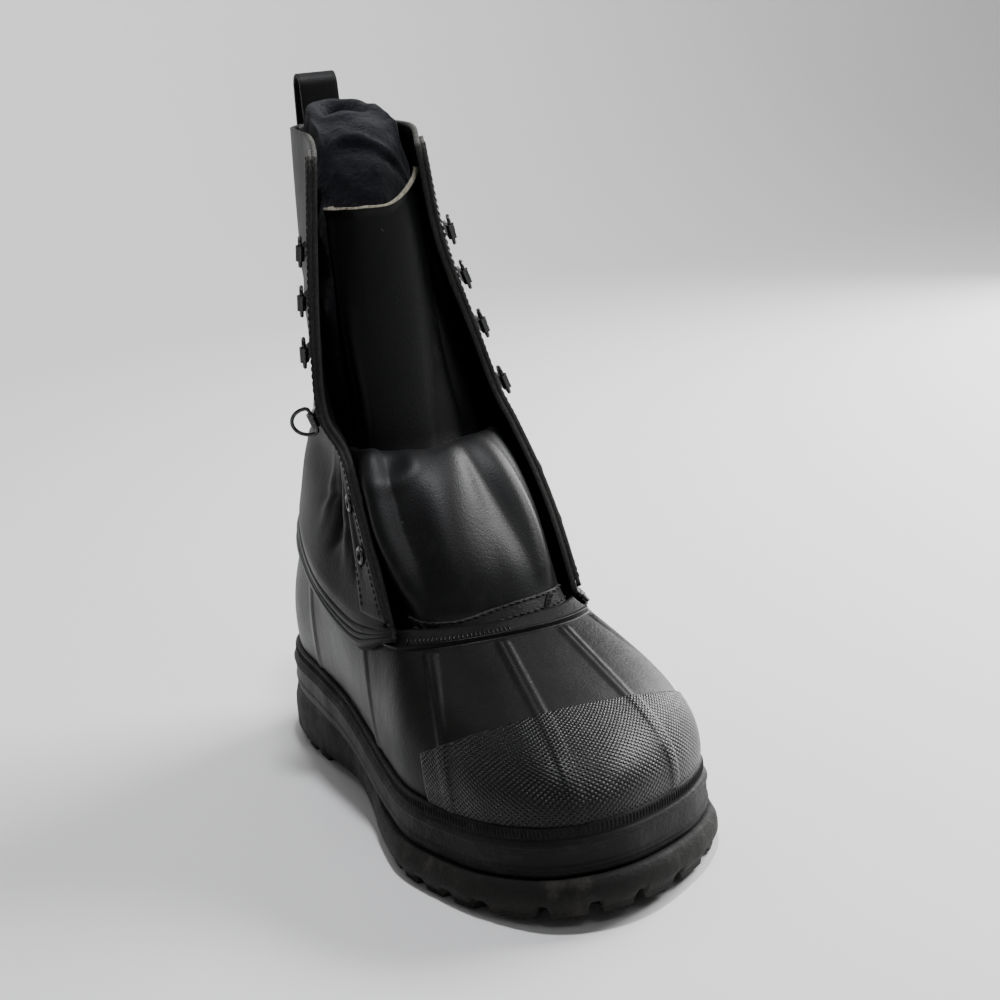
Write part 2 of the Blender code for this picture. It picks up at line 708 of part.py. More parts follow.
# Lacing rings: a clip riveted on the eyestay, and a D-ring that swings in the clip's barrel

def ring_axis_height():
    return LEATHER + EYESTAY_WALL + FITTING_GAP + RING_WIRE + RING_PLAY + BARREL_WALL + CLIP_WALL * 0.3


def make_clip(rows, side, number, height):
    """A strap end riveted to the eyestay, closed round the ring's straight bar."""
    point, normal, back, up = facing_frame(rows, side, height, RING_EDGE)
    frame = frame_matrix(point, back, up, normal)
    axis_height = ring_axis_height()
    bore = RING_WIRE + RING_PLAY
    low = LEATHER + EYESTAY_WALL + FITTING_GAP
    bm = bmesh.new()
    faces = []
    for y in (-0.5 * CLIP_WIDTH, 0.5 * CLIP_WIDTH):
        rings = []
        for radius in (bore, bore + BARREL_WALL):
            reach = radius / math.cos(math.pi / 8)
            turns = [math.radians(22.5 + 45 * k) for k in range(8)]
            rings.append([bm.verts.new((reach * math.cos(a), y, axis_height + reach * math.sin(a))) for a in turns])
        for vert in rings[1][5:7]:
            vert.co.z = low
        plate = [bm.verts.new((CLIP_LENGTH, y, low)), bm.verts.new((CLIP_LENGTH, y, low + CLIP_WALL))]
        faces.append((rings[0], rings[1][:7] + plate + rings[1][7:], rings[1]))
    for inner, outline, ring in faces:
        for k in range(8):
            bm.faces.new((inner[k], inner[(k + 1) % 8], ring[(k + 1) % 8], ring[k]))
        bm.faces.new((ring[6], outline[7], outline[8], ring[7]))
    for first, second in ((faces[0][0], faces[1][0]), (faces[0][1], faces[1][1])):
        count = len(first)
        for k in range(count):
            bm.faces.new((first[k], first[(k + 1) % count], second[(k + 1) % count], second[k]))
    bmesh.ops.recalc_face_normals(bm, faces=bm.faces)
    bm.transform(frame)
    mesh = bpy.data.meshes.new(f"clip_{side}_{number}")
    bm.to_mesh(mesh)
    bm.free()
    return add_object(mesh.name, mesh, RING_METAL, BOOT)


def make_ring(rows, side, number, height, opened):
    point, normal, back, up = facing_frame(rows, side, height, RING_EDGE)
    axis = point + normal * ring_axis_height()
    curve = bpy.data.curves.new(f"ring_{side}_{number}", "CURVE")
    curve.dimensions = "3D"
    curve.bevel_depth = RING_WIRE
    curve.bevel_resolution = 1
    half = 0.5 * RING_HEIGHT
    corner = 0.25 * RING_HEIGHT
    outline = [(0, -half + corner * 0.5), (0, half - corner * 0.5)]
    for k in range(7):
        a = math.pi * (0.5 - k / 6)
        outline.append((0.25 * RING_REACH + 0.75 * RING_REACH * math.cos(a), half * math.sin(a)))
    spline = curve.splines.new("POLY")
    spline.points.add(len(outline) - 1)
    for vert, (reach, high) in zip(spline.points, outline):
        vert.co = (reach, high, 0, 1)
    spline.use_cyclic_u = True
    holder = bpy.data.objects.new("ring_curve", curve)
    BOOT.objects.link(holder)
    bpy.context.view_layer.update()
    mesh = evaluated(holder)
    bpy.data.objects.remove(holder)
    mesh.name = f"ring_{side}_{number}"
    ring = add_object(mesh.name, mesh, RING_METAL, BOOT)
    frame = frame_matrix(axis, back, up, normal)
    swing = Matrix.Rotation(-opened, 4, "Y")
    ring.matrix_world = frame @ swing
    return ring


# Tongue: one sheet from under the rubber's rim, folded at the ankle, with gussets out to the facings

TONGUE_ACROSS = (-1.0, -0.8, -0.62, -0.48, -0.36, -0.18, 0.0, 0.18, 0.36, 0.48, 0.62, 0.8, 1.0)


TONGUE_STEPS = (0, 1, 2, 3, 4, 4.5, 5, 5.5, 6, 6.5, 7, 8, 9, 10, 11)


def tongue_point(row, w):
    x, along, height, panel, panel_back, valley_back, inner_edge, outer_edge, edge_back = row
    edge = inner_edge if w < 0 else outer_edge
    across = [0.0, 0.18, 0.36, 0.62, 1.0]
    sign = -1 if w < 0 else 1
    xs = [x, x + sign * 0.55 * panel, x + sign * panel, 0.45 * (x + sign * panel) + 0.55 * edge, edge]
    ys = [0.0, 0.25 * panel_back, panel_back, valley_back, edge_back]
    dx, dy = hermite(across, list(zip(xs, ys)), abs(w))
    x, y = dx * SHAFT_WIDTH, (along + dy) * LENGTH
    return np.array([x - CENTRE[0], y - CENTRE[1], height * COLLAR_HEIGHT])


def tongue_rows():
    """The tongue's inner face."""
    rows = []
    ring_places = [INNER_CORNER + 0.6 + (OUTER_CORNER - INNER_CORNER - 1.2) * (w + 1) / 2 for w in TONGUE_ACROSS]
    deep = RUBBER_WALL + TONGUE_WALL + 2 * GAP
    dense = np.array([[rubber_point(p, d) for p in ring_places] for d in (1.5 * TONGUE_TUCK[0], *TONGUE_TUCK, 0.0)])
    normals = raised(dense, 1.0, False) - dense
    for k in range(1, len(dense) - 1):
        rows.append(dense[k] - normals[k] * deep)
    knots = list(range(len(TONGUE)))
    for step in TONGUE_STEPS:
        row = []
        for w in TONGUE_ACROSS:
            points = [tongue_point(r, w) for r in TONGUE]
            row.append(hermite(knots, points, step))
        rows.append(row)
    rows = np.array(rows, float)
    tip = np.array([smooth(0.0, 1.0, w) for w in TONGUE_ACROSS])
    rows[-1][:, 2] += TONGUE_TIP_RISE * tip
    rows[-2][:, 2] += 0.4 * TONGUE_TIP_RISE * tip
    return rows


def make_tongue():
    return shell("tongue", tongue_rows(), TONGUE_WALL, SHAFT_LEATHER, outwards=True)


# Insole and felt liner

def make_insole():
    inset = RUBBER_WALL + 3.2 * GAP
    rings = []
    for height, extra in ((2 * GAP, 0.0), (2 * GAP + INSOLE_WALL, 0.0)):
        rings.append([edge_ring(p, rubber_foot(p) + inset + extra, lambda y: outsole_top(y) + height) for p in PLACES])
    bm = bmesh.new()
    low, high = [[bm.verts.new(v) for v in row] for row in rings]
    for k in range(len(low)):
        j = (k + 1) % len(low)
        bm.faces.new((low[k], low[j], high[j], high[k]))
    cap_across(bm, low)
    cap_across(bm, high, up=True)
    mesh = bpy.data.meshes.new("insole")
    bm.to_mesh(mesh)
    bm.free()
    return add_object("insole", mesh, INSOLE_FELT, BOOT)


LINER_KNOTS = [0, 2, 4, 8, TOE, 17, 21, 23]
LINER_PLACES = [k * STATIONS / 26 for k in range(26)]


def liner_ring(row):
    low, high, xi, xo, side_y, front_x, front_y, back_x, back_y = row
    across, back = CORNER_BACK
    outline = [
        (back_x, back_y, high),
        (back_x + across * (xi - back_x), side_y + back * (back_y - side_y), high),
        (xi, side_y, 0.5 * (low + high)),
        (front_x + 0.80 * (xi - front_x), front_y + 0.36 * (side_y - front_y), low),
        (front_x, front_y, low),
        (front_x + 0.80 * (xo - front_x), front_y + 0.36 * (side_y - front_y), low),
        (xo, side_y, 0.5 * (low + high)),
        (back_x + across * (xo - back_x), side_y + back * (back_y - side_y), high),
    ]
    ring = []
    for p in LINER_PLACES:
        x, y, z = hermite(LINER_KNOTS, outline, p, STATIONS)
        ring.append((x * SHAFT_WIDTH - CENTRE[0], y * LENGTH - CENTRE[1], z * COLLAR_HEIGHT))
    return ring


def make_liner():
    floor = 3 * GAP + INSOLE_WALL
    clear = RUBBER_WALL + ROUGH_GAP
    rows = [[edge_ring(p, rubber_foot(p) + clear + FELT / 3, lambda y: outsole_top(y) + floor) for p in LINER_PLACES]]
    rows.append([edge_ring(p, rubber_foot(p) + clear, lambda y: outsole_top(y) + floor + FELT) for p in LINER_PLACES])
    free = [[rubber_share(p, s) for p in LINER_PLACES] for s in (0.0, 0.3, 0.6, 1.0)]
    free.append([rubber_point(p, 0.0) for p in LINER_PLACES])
    free = np.array(free)
    inward = raised(free, -1.0, True) - free
    front = [smooth(5, 8, p) * (1 - smooth(17, 20, p)) for p in LINER_PLACES]
    for row in (1, 2, 3, 4):
        below_tongue = (TONGUE_WALL + 2 * ROUGH_GAP) if row > 2 else 0.0
        rows.append([free[row][k] + inward[row][k] * (clear + ROUGH_GAP / 3 + below_tongue * front[k])
                     for k in range(len(LINER_PLACES))])
    rows += [liner_ring(row) for row in LINER]
    return shell("liner", np.array(rows), FELT, FELT_CLOTH, closed=True, outwards=False, cap=True)


# Pull loop: a strap doubled over the back of the collar

def make_pull_loop():
    back = shaft_point(STATIONS, SHAFT[-1])
    x, y, z = back
    outer_y = y + LEATHER + GAP + LOOP_WALL
    edges = [shaft_point(STATIONS + d, SHAFT[-1]) for d in np.linspace(-2, 2, 41)]
    inner_y = min(e[1] for e in edges if abs(e[0] - x) < 0.6 * LOOP_WIDTH) - GAP - LOOP_WALL
    outline = [(outer_y + 0.4 * LOOP_WALL, z - LOOP_BELOW), (outer_y, z)]
    middle = 0.5 * (outer_y + inner_y)
    half = 0.5 * LOOP_DEPTH
    straight = z + LOOP_HEIGHT - half
    for k in range(9):
        a = math.pi * k / 8
        outline.append((middle + half * math.cos(a), straight + half * math.sin(a)))
    outline += [(inner_y, z), (inner_y - 0.4 * LOOP_WALL, z - LOOP_BELOW)]
    rows = []
    for along_x in (0.5, -0.5):
        rows.append([(x + along_x * LOOP_WIDTH, a, b) for a, b in outline])
    return shell("pull_loop", rows, LOOP_WALL, SHAFT_LEATHER)


ROWS = shaft_rows()
EYELET_CUTTER = eyelet_cutter(ROWS)
make_outsole()
make_foxing()
make_rubber_bottom()
make_toe_cap()
make_insole()
make_shaft(ROWS)
make_tongue()
make_liner()
make_pull_loop()
for SIDE in ("inner", "outer"):
    make_eyestay(ROWS, SIDE)
    for NUMBER, HEIGHT in enumerate(EYELETS, 1):
        make_eyelet(ROWS, SIDE, NUMBER, HEIGHT)
    for NUMBER, HEIGHT in enumerate(RINGS, 1):
        make_clip(ROWS, SIDE, NUMBER, HEIGHT)
        OPENED = OPEN_RING_ANGLE if (SIDE, NUMBER) == ("inner", 1) else 0.0
        make_ring(ROWS, SIDE, NUMBER, HEIGHT, OPENED)
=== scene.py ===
"""Pac boot for a left foot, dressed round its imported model.

Metres, +Z up, toe towards -Y, the outer side of the foot towards +X.
"""

import math

import bmesh
import bpy
import numpy as np
from mathutils import Matrix, Vector, noise


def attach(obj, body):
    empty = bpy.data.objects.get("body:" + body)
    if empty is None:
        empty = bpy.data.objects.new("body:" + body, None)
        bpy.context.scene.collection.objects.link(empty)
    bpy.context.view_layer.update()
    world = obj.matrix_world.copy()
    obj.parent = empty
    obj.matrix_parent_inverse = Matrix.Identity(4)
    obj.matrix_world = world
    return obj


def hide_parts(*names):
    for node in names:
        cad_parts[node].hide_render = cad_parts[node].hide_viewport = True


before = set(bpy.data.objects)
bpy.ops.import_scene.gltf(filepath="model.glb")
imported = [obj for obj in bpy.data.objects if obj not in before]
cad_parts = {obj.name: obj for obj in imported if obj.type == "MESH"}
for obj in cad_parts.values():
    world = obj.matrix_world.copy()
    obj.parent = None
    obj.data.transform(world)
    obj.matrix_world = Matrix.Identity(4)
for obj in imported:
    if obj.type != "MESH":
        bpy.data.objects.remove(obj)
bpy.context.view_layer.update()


# Camera, floor and lights: the photograph's viewing angle with its slight roll, aimed at the one boot, over a
# plain pale sweep. Two soft boxes stand at the outer side and a faint one at the inner side, two light the
# sweep and the front, and a small one over the toe makes its highlight.

LENGTH = 0.320
BALL_WIDTH = 0.133
CAMERA_PLACE = Vector((-0.2704, -0.8190, 0.3470))
CAMERA_AZIMUTH = math.radians(-14.8)
CAMERA_ELEVATION = math.radians(14.1)
CAMERA_ROLL = math.radians(6.2)
AIM_RIGHT = 0.0755
AIM_UP = 0.0125
FOCAL_LENGTH = 72.0

away = Vector((
    math.sin(CAMERA_AZIMUTH) * math.cos(CAMERA_ELEVATION),
    -math.cos(CAMERA_AZIMUTH) * math.cos(CAMERA_ELEVATION),
    math.sin(CAMERA_ELEVATION),
))
level = (-away).cross(Vector((0, 0, 1))).normalized()
upright = level.cross(-away)
camera_right = math.cos(CAMERA_ROLL) * level - math.sin(CAMERA_ROLL) * upright
camera_up = math.cos(CAMERA_ROLL) * upright + math.sin(CAMERA_ROLL) * level
forward = (-away + AIM_RIGHT * camera_right + AIM_UP * camera_up).normalized()
camera_right = (camera_right - camera_right.dot(forward) * forward).normalized()
camera_up = camera_right.cross(forward)
camera_data = bpy.data.cameras.new("camera")
camera_data.lens = FOCAL_LENGTH
camera_data.sensor_width = 36.0
camera = bpy.data.objects.new("camera", camera_data)
camera.matrix_world = Matrix((
    (camera_right.x, camera_up.x, -forward.x, CAMERA_PLACE.x),
    (camera_right.y, camera_up.y, -forward.y, CAMERA_PLACE.y),
    (camera_right.z, camera_up.z, -forward.z, CAMERA_PLACE.z),
    (0, 0, 0, 1),
))
bpy.context.scene.collection.objects.link(camera)
bpy.context.scene.camera = camera


class Value:
    """One output of a shader node, so that shader maths reads as plain sums."""

    def __init__(self, finish, socket):
        self.finish = finish
        self.socket = socket

    def maths(self, operation, *values):
        numbers = dict(enumerate(values))
        return self.finish.node("ShaderNodeMath", {"operation": operation}, numbers)

    def __add__(self, other):
        return self.maths("ADD", self, other)

    __radd__ = __add__

    def __mul__(self, other):
        return self.maths("MULTIPLY", self, other)

    __rmul__ = __mul__

    def __sub__(self, other):
        return self.maths("SUBTRACT", self, other)

    def __rsub__(self, other):
        return self.maths("SUBTRACT", other, self)

    def between(self, low, high):
        """0 below low, 1 above high, smooth between."""
        numbers = {"Value": self, "From Min": low, "From Max": high}
        return self.finish.node("ShaderNodeMapRange", {"interpolation_type": "SMOOTHSTEP"}, numbers)

    def wave(self):
        return self.maths("SINE", self)


class Finish:
    """A material, with the nodes that vary its colour, gloss and relief."""

    def __init__(self, name, roughness, **fixed):
        self.material = bpy.data.materials.new(name)
        self.material.use_nodes = True
        self.tree = self.material.node_tree
        self.shader = self.tree.nodes["Principled BSDF"]
        self.shader.inputs["Roughness"].default_value = roughness
        for key, value in fixed.items():
            self.shader.inputs[key.replace("_", " ")].default_value = value

    def node(self, kind, settings, inputs, output=0):
        made = self.tree.nodes.new(kind)
        for key, value in settings.items():
            setattr(made, key, value)
        for key, value in inputs.items():
            self.feed(made.inputs[key], value)
        return Value(self, made.outputs[output])

    def feed(self, socket, value):
        if isinstance(value, Value):
            self.tree.links.new(value.socket, socket)
        else:
            socket.default_value = value

    def place(self, kind="Object"):
        return self.node("ShaderNodeTexCoord", {}, {}, kind)

    def stretched(self, where, scale, turn=(0, 0, 0)):
        return self.node("ShaderNodeMapping", {}, {"Vector": where, "Scale": scale, "Rotation": turn})

    def cloud(self, where, scale, detail=3.0, rough=0.55):
        inputs = {"Vector": where, "Scale": scale, "Detail": detail, "Roughness": rough}
        return self.node("ShaderNodeTexNoise", {}, inputs)

    def cells(self, where, scale):
        return self.node("ShaderNodeTexVoronoi", {}, {"Vector": where, "Scale": scale})

    def part(self, where, axis):
        return self.node("ShaderNodeSeparateXYZ", {}, {"Vector": where}, axis)

    def mix(self, amount, low, high):
        """From one colour to another: the node's colour inputs are 6 and 7, its colour output is 2."""
        return self.node("ShaderNodeMix", {"data_type": "RGBA"}, {0: amount, 6: (*low, 1), 7: (*high, 1)}, 2)

    def color(self, value):
        self.feed(self.shader.inputs["Base Color"], (*value, 1) if isinstance(value, tuple) else value)

    def rough(self, value):
        self.feed(self.shader.inputs["Roughness"], value)

    def relief(self, height, depth):
        """Bump of this height field, depth metres from its 0 to its 1."""
        made = self.node("ShaderNodeBump", {}, {"Strength": 1.0, "Distance": depth, "Height": height})
        self.feed(self.shader.inputs["Normal"], made)


FLOOR_FRONT = -3.0
FLOOR_HALF_WIDTH = 5
SWEEP_START = 1.6
SWEEP_RADIUS = 0.7
SWEEP_TOP = 1.1
SWEEP_STEPS = 12
WORLD_STRENGTH = 0.10

floor_finish = Finish("floor_white", 0.7)
floor_finish.color((0.86, 0.86, 0.86))
sweep = [(FLOOR_FRONT, 0.0), (SWEEP_START, 0.0)]
for k in range(1, SWEEP_STEPS + 1):
    a = 0.5 * math.pi * k / SWEEP_STEPS
    sweep.append((SWEEP_START + SWEEP_RADIUS * math.sin(a), SWEEP_RADIUS * (1 - math.cos(a))))
sweep.append((SWEEP_START + SWEEP_RADIUS, SWEEP_TOP))
floor_mesh = bpy.data.meshes.new("floor")
floor_faces = [(2 * k, 2 * k + 1, 2 * k + 3, 2 * k + 2) for k in range(len(sweep) - 1)]
floor_verts = [(x, y, z) for y, z in sweep for x in (-FLOOR_HALF_WIDTH, FLOOR_HALF_WIDTH)]
floor_mesh.from_pydata(floor_verts, [], floor_faces)
floor_mesh.shade_smooth()
floor_mesh.materials.append(floor_finish.material)
floor = bpy.data.objects.new("floor", floor_mesh)
bpy.context.scene.collection.objects.link(floor)

world = bpy.data.worlds.new("studio")
world.use_nodes = True
world.node_tree.nodes["Background"].inputs["Color"].default_value = (1.0, 1.0, 1.0, 1)
world.node_tree.nodes["Background"].inputs["Strength"].default_value = WORLD_STRENGTH
bpy.context.scene.world = world

LIGHTS = [
    # name, place, target, width, height, power, colour
    ("outer_box", (1.06, 0.12, 0.92), (0.0, -0.02, 0.10), 0.85, 0.36, 26, (1, 1, 1)),
    ("outer_back_box", (1.20, 0.80, 0.40), (0.0, 0.05, 0.18), 0.25, 0.7, 14, (1, 1, 1)),
    ("back_box", (0.1, 1.3, 1.9), (0.0, 2.6, 0.3), 2.4, 0.8, 34, (1, 1, 1)),
    ("front_box", (0.3, -1.7, 2.0), (0.0, -0.6, 0.0), 0.8, 0.5, 6, (1, 1, 1)),
    ("inner_box", (-1.1, 0.6, 0.6), (0.0, 0.05, 0.15), 0.25, 1.2, 0.5, (1, 1, 1)),
    ("toe_box", (0.05, -0.17, 1.46), (0.0, -0.14, 0.06), 0.10, 0.13, 14, (0.95, 0.96, 1.0)),
]
for name, place, target, width, height, power, color in LIGHTS:
    data = bpy.data.lights.new(name, "AREA")
    data.shape = "RECTANGLE"
    data.size = width
    data.size_y = height
    data.energy = power
    data.color = color
    light = bpy.data.objects.new(name, data)
    light.location = place
    light.rotation_euler = (Vector(target) - Vector(place)).to_track_quat("-Z", "Y").to_euler()
    bpy.context.scene.collection.objects.link(light)


# Outsole: one solid moulding of black rubber with deep lugs, hollowed under the arch in front of a stepped
# heel. It is cemented to the foxing. Its outline, toe spring and heel lift are the ones that the whole boot
# is built on.

SPRING_START = -0.28
TOE_SPRING = 0.007
HEEL_LIFT = 0.013
OUTSOLE_EDGE = 0.015
TREAD_INSET = 0.0025
ARCH_RISE = 0.010
ARCH_FRONT = -0.10
BREAST = 0.235
LUG_DEPTH = 0.0055
LUG_GAP = 0.0050
LUG_PITCH = 0.0175
TREAD_START = -0.385
LUG_WIDTH = 0.62
HEEL_LUGS = 4
EDGE_NOTCHES = (9.9, 10.9, 11.9, 12.9, 13.9, 14.9, -0.7, 0.7)
NOTCH_LENGTH = 0.020
SOLE_FOOT = ((0.0, 0.0003, 0.0006), (0.12, 0.0, 0.0016), (0.5, 0.35, 0.0), (1.0, 1.0, 0.0))
SOLE_SIDE = ((0.0, 0.55), (0.0003, 0.70), (0.0010, 0.80), (0.0018, 0.90))
BUMPER = 0.006
FOXING_WALL = 0.0030
GAP = 0.00035

AROUND = np.array([
    # along, across, bumper, rim_along, rim_across, rim_height, shoulder, drop
    (0.497, -0.010, 0.6, 0.456, -0.020, 1.31, 0.30, 0.35),
    (0.481, -0.205, 0.6, 0.441, -0.210, 1.31, 0.30, 0.35),
    (0.422, -0.375, 0.5, 0.388, -0.355, 1.30, 0.30, 0.35),
    (0.328, -0.430, 0.2, 0.313, -0.445, 1.28, 0.30, 0.35),
    (0.203, -0.415, -0.2, 0.225, -0.510, 1.20, 0.30, 0.35),
    (0.094, -0.390, -0.5, 0.131, -0.540, 1.12, 0.30, 0.35),
    (-0.016, -0.415, -0.1, 0.038, -0.515, 1.04, 0.35, 0.35),
    (-0.125, -0.462, 0.6, -0.038, -0.480, 1.01, 0.45, 0.33),
    (-0.231, -0.480, 0.9, -0.103, -0.430, 1.00, 0.58, 0.33),
    (-0.325, -0.428, 1.0, -0.131, -0.340, 1.00, 0.64, 0.38),
    (-0.408, -0.353, 1.0, -0.147, -0.240, 1.00, 0.68, 0.44),
    (-0.483, -0.226, 1.0, -0.155, -0.135, 1.00, 0.70, 0.48),
    (-0.509, -0.075, 1.0, -0.158, -0.025, 1.00, 0.70, 0.49),
    (-0.500, 0.080, 1.0, -0.156, 0.080, 1.00, 0.70, 0.49),
    (-0.458, 0.248, 0.9, -0.150, 0.180, 1.00, 0.70, 0.47),
    (-0.401, 0.398, 0.75, -0.139, 0.270, 1.00, 0.68, 0.42),
    (-0.325, 0.512, 0.6, -0.122, 0.340, 1.00, 0.64, 0.37),
    (-0.231, 0.530, 0.55, -0.100, 0.390, 1.00, 0.58, 0.33),
    (-0.119, 0.478, 0.4, -0.038, 0.445, 1.01, 0.45, 0.33),
    (-0.016, 0.410, 0.2, 0.038, 0.475, 1.04, 0.35, 0.35),
    (0.094, 0.361, 0.0, 0.131, 0.490, 1.12, 0.30, 0.35),
    (0.203, 0.346, 0.1, 0.225, 0.475, 1.20, 0.30, 0.35),
    (0.328, 0.346, 0.3, 0.313, 0.430, 1.28, 0.30, 0.35),
    (0.422, 0.293, 0.5, 0.388, 0.335, 1.30, 0.30, 0.35),
    (0.481, 0.175, 0.6, 0.441, 0.175, 1.31, 0.30, 0.35),
])
STATIONS = len(AROUND)


def curve(knots, values, at, period=None):
    """Smooth curve through values at knots, for many places at once, closed when a period is given."""
    knots = np.asarray(knots, float)
    values = np.asarray(values, float)
    shape = values.shape[1:]
    values = values.reshape(len(knots), -1)
    at = np.asarray(at, float)
    if period:
        at = knots[0] + (at - knots[0]) % period
        knots = np.concatenate([[knots[-1] - period], knots, knots[:2] + period])
        values = np.concatenate([values[-1:], values, values[:2]])
    low = np.maximum(np.arange(len(knots)) - 1, 0)
    high = np.minimum(np.arange(len(knots)) + 1, len(knots) - 1)
    slope = (values[high] - values[low]) / (knots[high] - knots[low])[:, None]
    i = np.clip(np.searchsorted(knots, at, side="right") - 1, 0, len(knots) - 2)
    step = (knots[i + 1] - knots[i])[:, None]
    t = (at[:, None] - knots[i][:, None]) / step
    made = ((2 * t**3 - 3 * t**2 + 1) * values[i] + (t**3 - 2 * t**2 + t) * step * slope[i]
            + (3 * t**2 - 2 * t**3) * values[i + 1] + (t**3 - t**2) * step * slope[i + 1])
    return made.reshape(len(at), *shape)


def smooth(low, high, value):
    t = np.clip((value - low) / (high - low), 0.0, 1.0)
    return t * t * (3 - 2 * t)


def station(places):
    return curve(range(STATIONS), AROUND, places, STATIONS)


def spring_only(y):
    ahead = np.maximum(SPRING_START - y / LENGTH, 0.0) / (0.5 + SPRING_START)
    return TOE_SPRING * ahead**2


def outsole_top(y):
    return OUTSOLE_EDGE + HEEL_LIFT * smooth(-0.19, 0.25, y / LENGTH) + spring_only(y)


half_steps = station(np.arange(0, STATIONS, 0.5))
outline = np.stack([half_steps[:, 1] * BALL_WIDTH, half_steps[:, 0] * LENGTH], axis=1)
CENTRE = (outline.max(0) + outline.min(0)) / 2


def sole_edge(places):
    """The outsole's widest outline and its outward direction."""
    def point(p):
        row = station(p)
        return np.stack([row[:, 1] * BALL_WIDTH, row[:, 0] * LENGTH], axis=1) - CENTRE

    places = np.asarray(places, float)
    ahead = point(places + 0.05) - point(places - 0.05)
    out = np.stack([ahead[:, 1], -ahead[:, 0]], axis=1)
    return point(places), out / np.linalg.norm(out, axis=1)[:, None]


def edge_ring(places, inset, height):
    point, out = sole_edge(places)
    x, y = (point - out * np.reshape(inset, (-1, 1))).T
    return np.stack([x, y, height(y) + 0 * y], axis=1)


def run_up(rows):
    """How far each point lies from the first row, along its own column."""
    steps = np.linalg.norm(np.diff(rows, axis=0), axis=2)
    return np.concatenate([np.zeros((1, rows.shape[1])), np.cumsum(steps, axis=0)])


def sheet(name, rows, closed, material):
    """A smooth mesh of quads through rows of points, with a UV map in metres, and its object."""
    rows = np.asarray(rows, float)
    height, width = rows.shape[:2]
    count = width if closed else width - 1
    k = np.arange(count)
    j = (k + 1) % width
    i = np.arange(height - 1)[:, None]
    corners = [i * width + k, i * width + j, (i + 1) * width + j, (i + 1) * width + k]
    faces = np.stack(corners, axis=-1).reshape(-1, 4)
    low = i * (count + 1) + k
    high = low + count + 1
    uv_k = np.stack([low, low + 1, high + 1, high], axis=-1).reshape(-1, 4)
    around = rows[:, j] - rows[:, k] if closed else np.diff(rows, axis=1)
    middle = np.linalg.norm(around[height // 2], axis=1)
    u = np.concatenate([[0], np.cumsum(middle)])
    up = run_up(rows)
    v = up[:, list(range(width)) + [0]] if closed else up
    mesh = bpy.data.meshes.new(name)
    mesh.from_pydata(rows.reshape(-1, 3).tolist(), [], faces.tolist())
    uvs = np.stack([np.broadcast_to(u, v.shape), v], axis=-1).reshape(-1, 2)[uv_k.reshape(-1)]
    mesh.uv_layers.new(name="surface").data.foreach_set("uv", uvs.reshape(-1).astype(np.float32))
    mesh.materials.append(material)
    mesh.shade_smooth()
    made = bpy.data.objects.new(name, mesh)
    bpy.context.scene.collection.objects.link(made)
    return made


def normals_of(rows, closed):
    """Outward directions of a sheet whose rows run anticlockwise and upwards."""
    if closed:
        across = np.roll(rows, -1, axis=1) - np.roll(rows, 1, axis=1)
    else:
        across = np.gradient(rows, axis=1)
    out = np.cross(across, np.gradient(rows, axis=0))
    return out / np.maximum(np.linalg.norm(out, axis=2), 1e-12)[..., None]


def groove(points, centre, length, turn, width):
    """How deep points lie in one straight tread groove, from 0 at its edges to 1 along its floor."""
    offset = points - np.asarray(centre)
    along = np.abs(offset @ np.array([math.cos(turn), math.sin(turn)]))
    across = np.abs(offset @ np.array([-math.sin(turn), math.cos(turn)]))
    slope = 0.0009
    return smooth(slope, -slope, across - 0.5 * width) * smooth(slope, -slope, along - 0.5 * length)


def tread(points):
    """Height of the tread's underside at each point of the sole: its lugs, its grooves and the arch."""
    along = points[:, 1] / LENGTH
    deep = np.zeros(len(points))
    first = TREAD_START * LENGTH
    wide = LUG_WIDTH * BALL_WIDTH
    for k in range(int((ARCH_FRONT * LENGTH - first) / LUG_PITCH) + 1):
        for side in (-1, 1):
            place = (side * (0.5 * wide + 0.006), first + k * LUG_PITCH)
            deep = np.maximum(deep, groove(points, place, wide, side * 0.16, LUG_GAP))
    for k in range(HEEL_LUGS):
        for side in (-1, 1):
            place = (side * (0.5 * wide + 0.005), BREAST * LENGTH + (0.9 + k) * LUG_PITCH)
            deep = np.maximum(deep, groove(points, place, wide, -side * 0.16, LUG_GAP))
    for p in EDGE_NOTCHES:
        (point,), (out,) = sole_edge([p])
        turn = math.atan2(out[1], out[0])
        deep = np.maximum(deep, groove(points, point - out * 0.004, NOTCH_LENGTH, turn, LUG_GAP))
    rise = np.clip((along - ARCH_FRONT) / (BREAST - ARCH_FRONT - 0.03), 0, 1)
    arch = ARCH_RISE * np.sin(0.5 * math.pi * rise)**1.5 * smooth(BREAST, BREAST - 0.012, along)
    return np.maximum(spring_only(points[:, 1]) + deep * LUG_DEPTH, arch)


sole_rubber = Finish("sole_rubber_worn", 0.6, Specular_IOR_Level=0.14)
where = sole_rubber.place()
dust = sole_rubber.cloud(where, 55, 6, 0.7).between(0.52, 0.75)
height_over_floor = sole_rubber.part(where, 2)
low_down = 1 - height_over_floor.between(0.004, 0.022)
grime = dust * 0.55 + low_down * 0.35 * sole_rubber.cloud(where, 160, 4, 0.7)
sole_rubber.color(sole_rubber.mix(grime, (0.0075, 0.0075, 0.0070), (0.058, 0.053, 0.045)))
sole_rubber.rough(sole_rubber.cloud(where, 90, 4) * 0.3 + 0.52)
sole_rubber.relief(sole_rubber.cloud(where, 700, 5, 0.65) + sole_rubber.cloud(where, 90, 4) * 1.6, 0.0005)

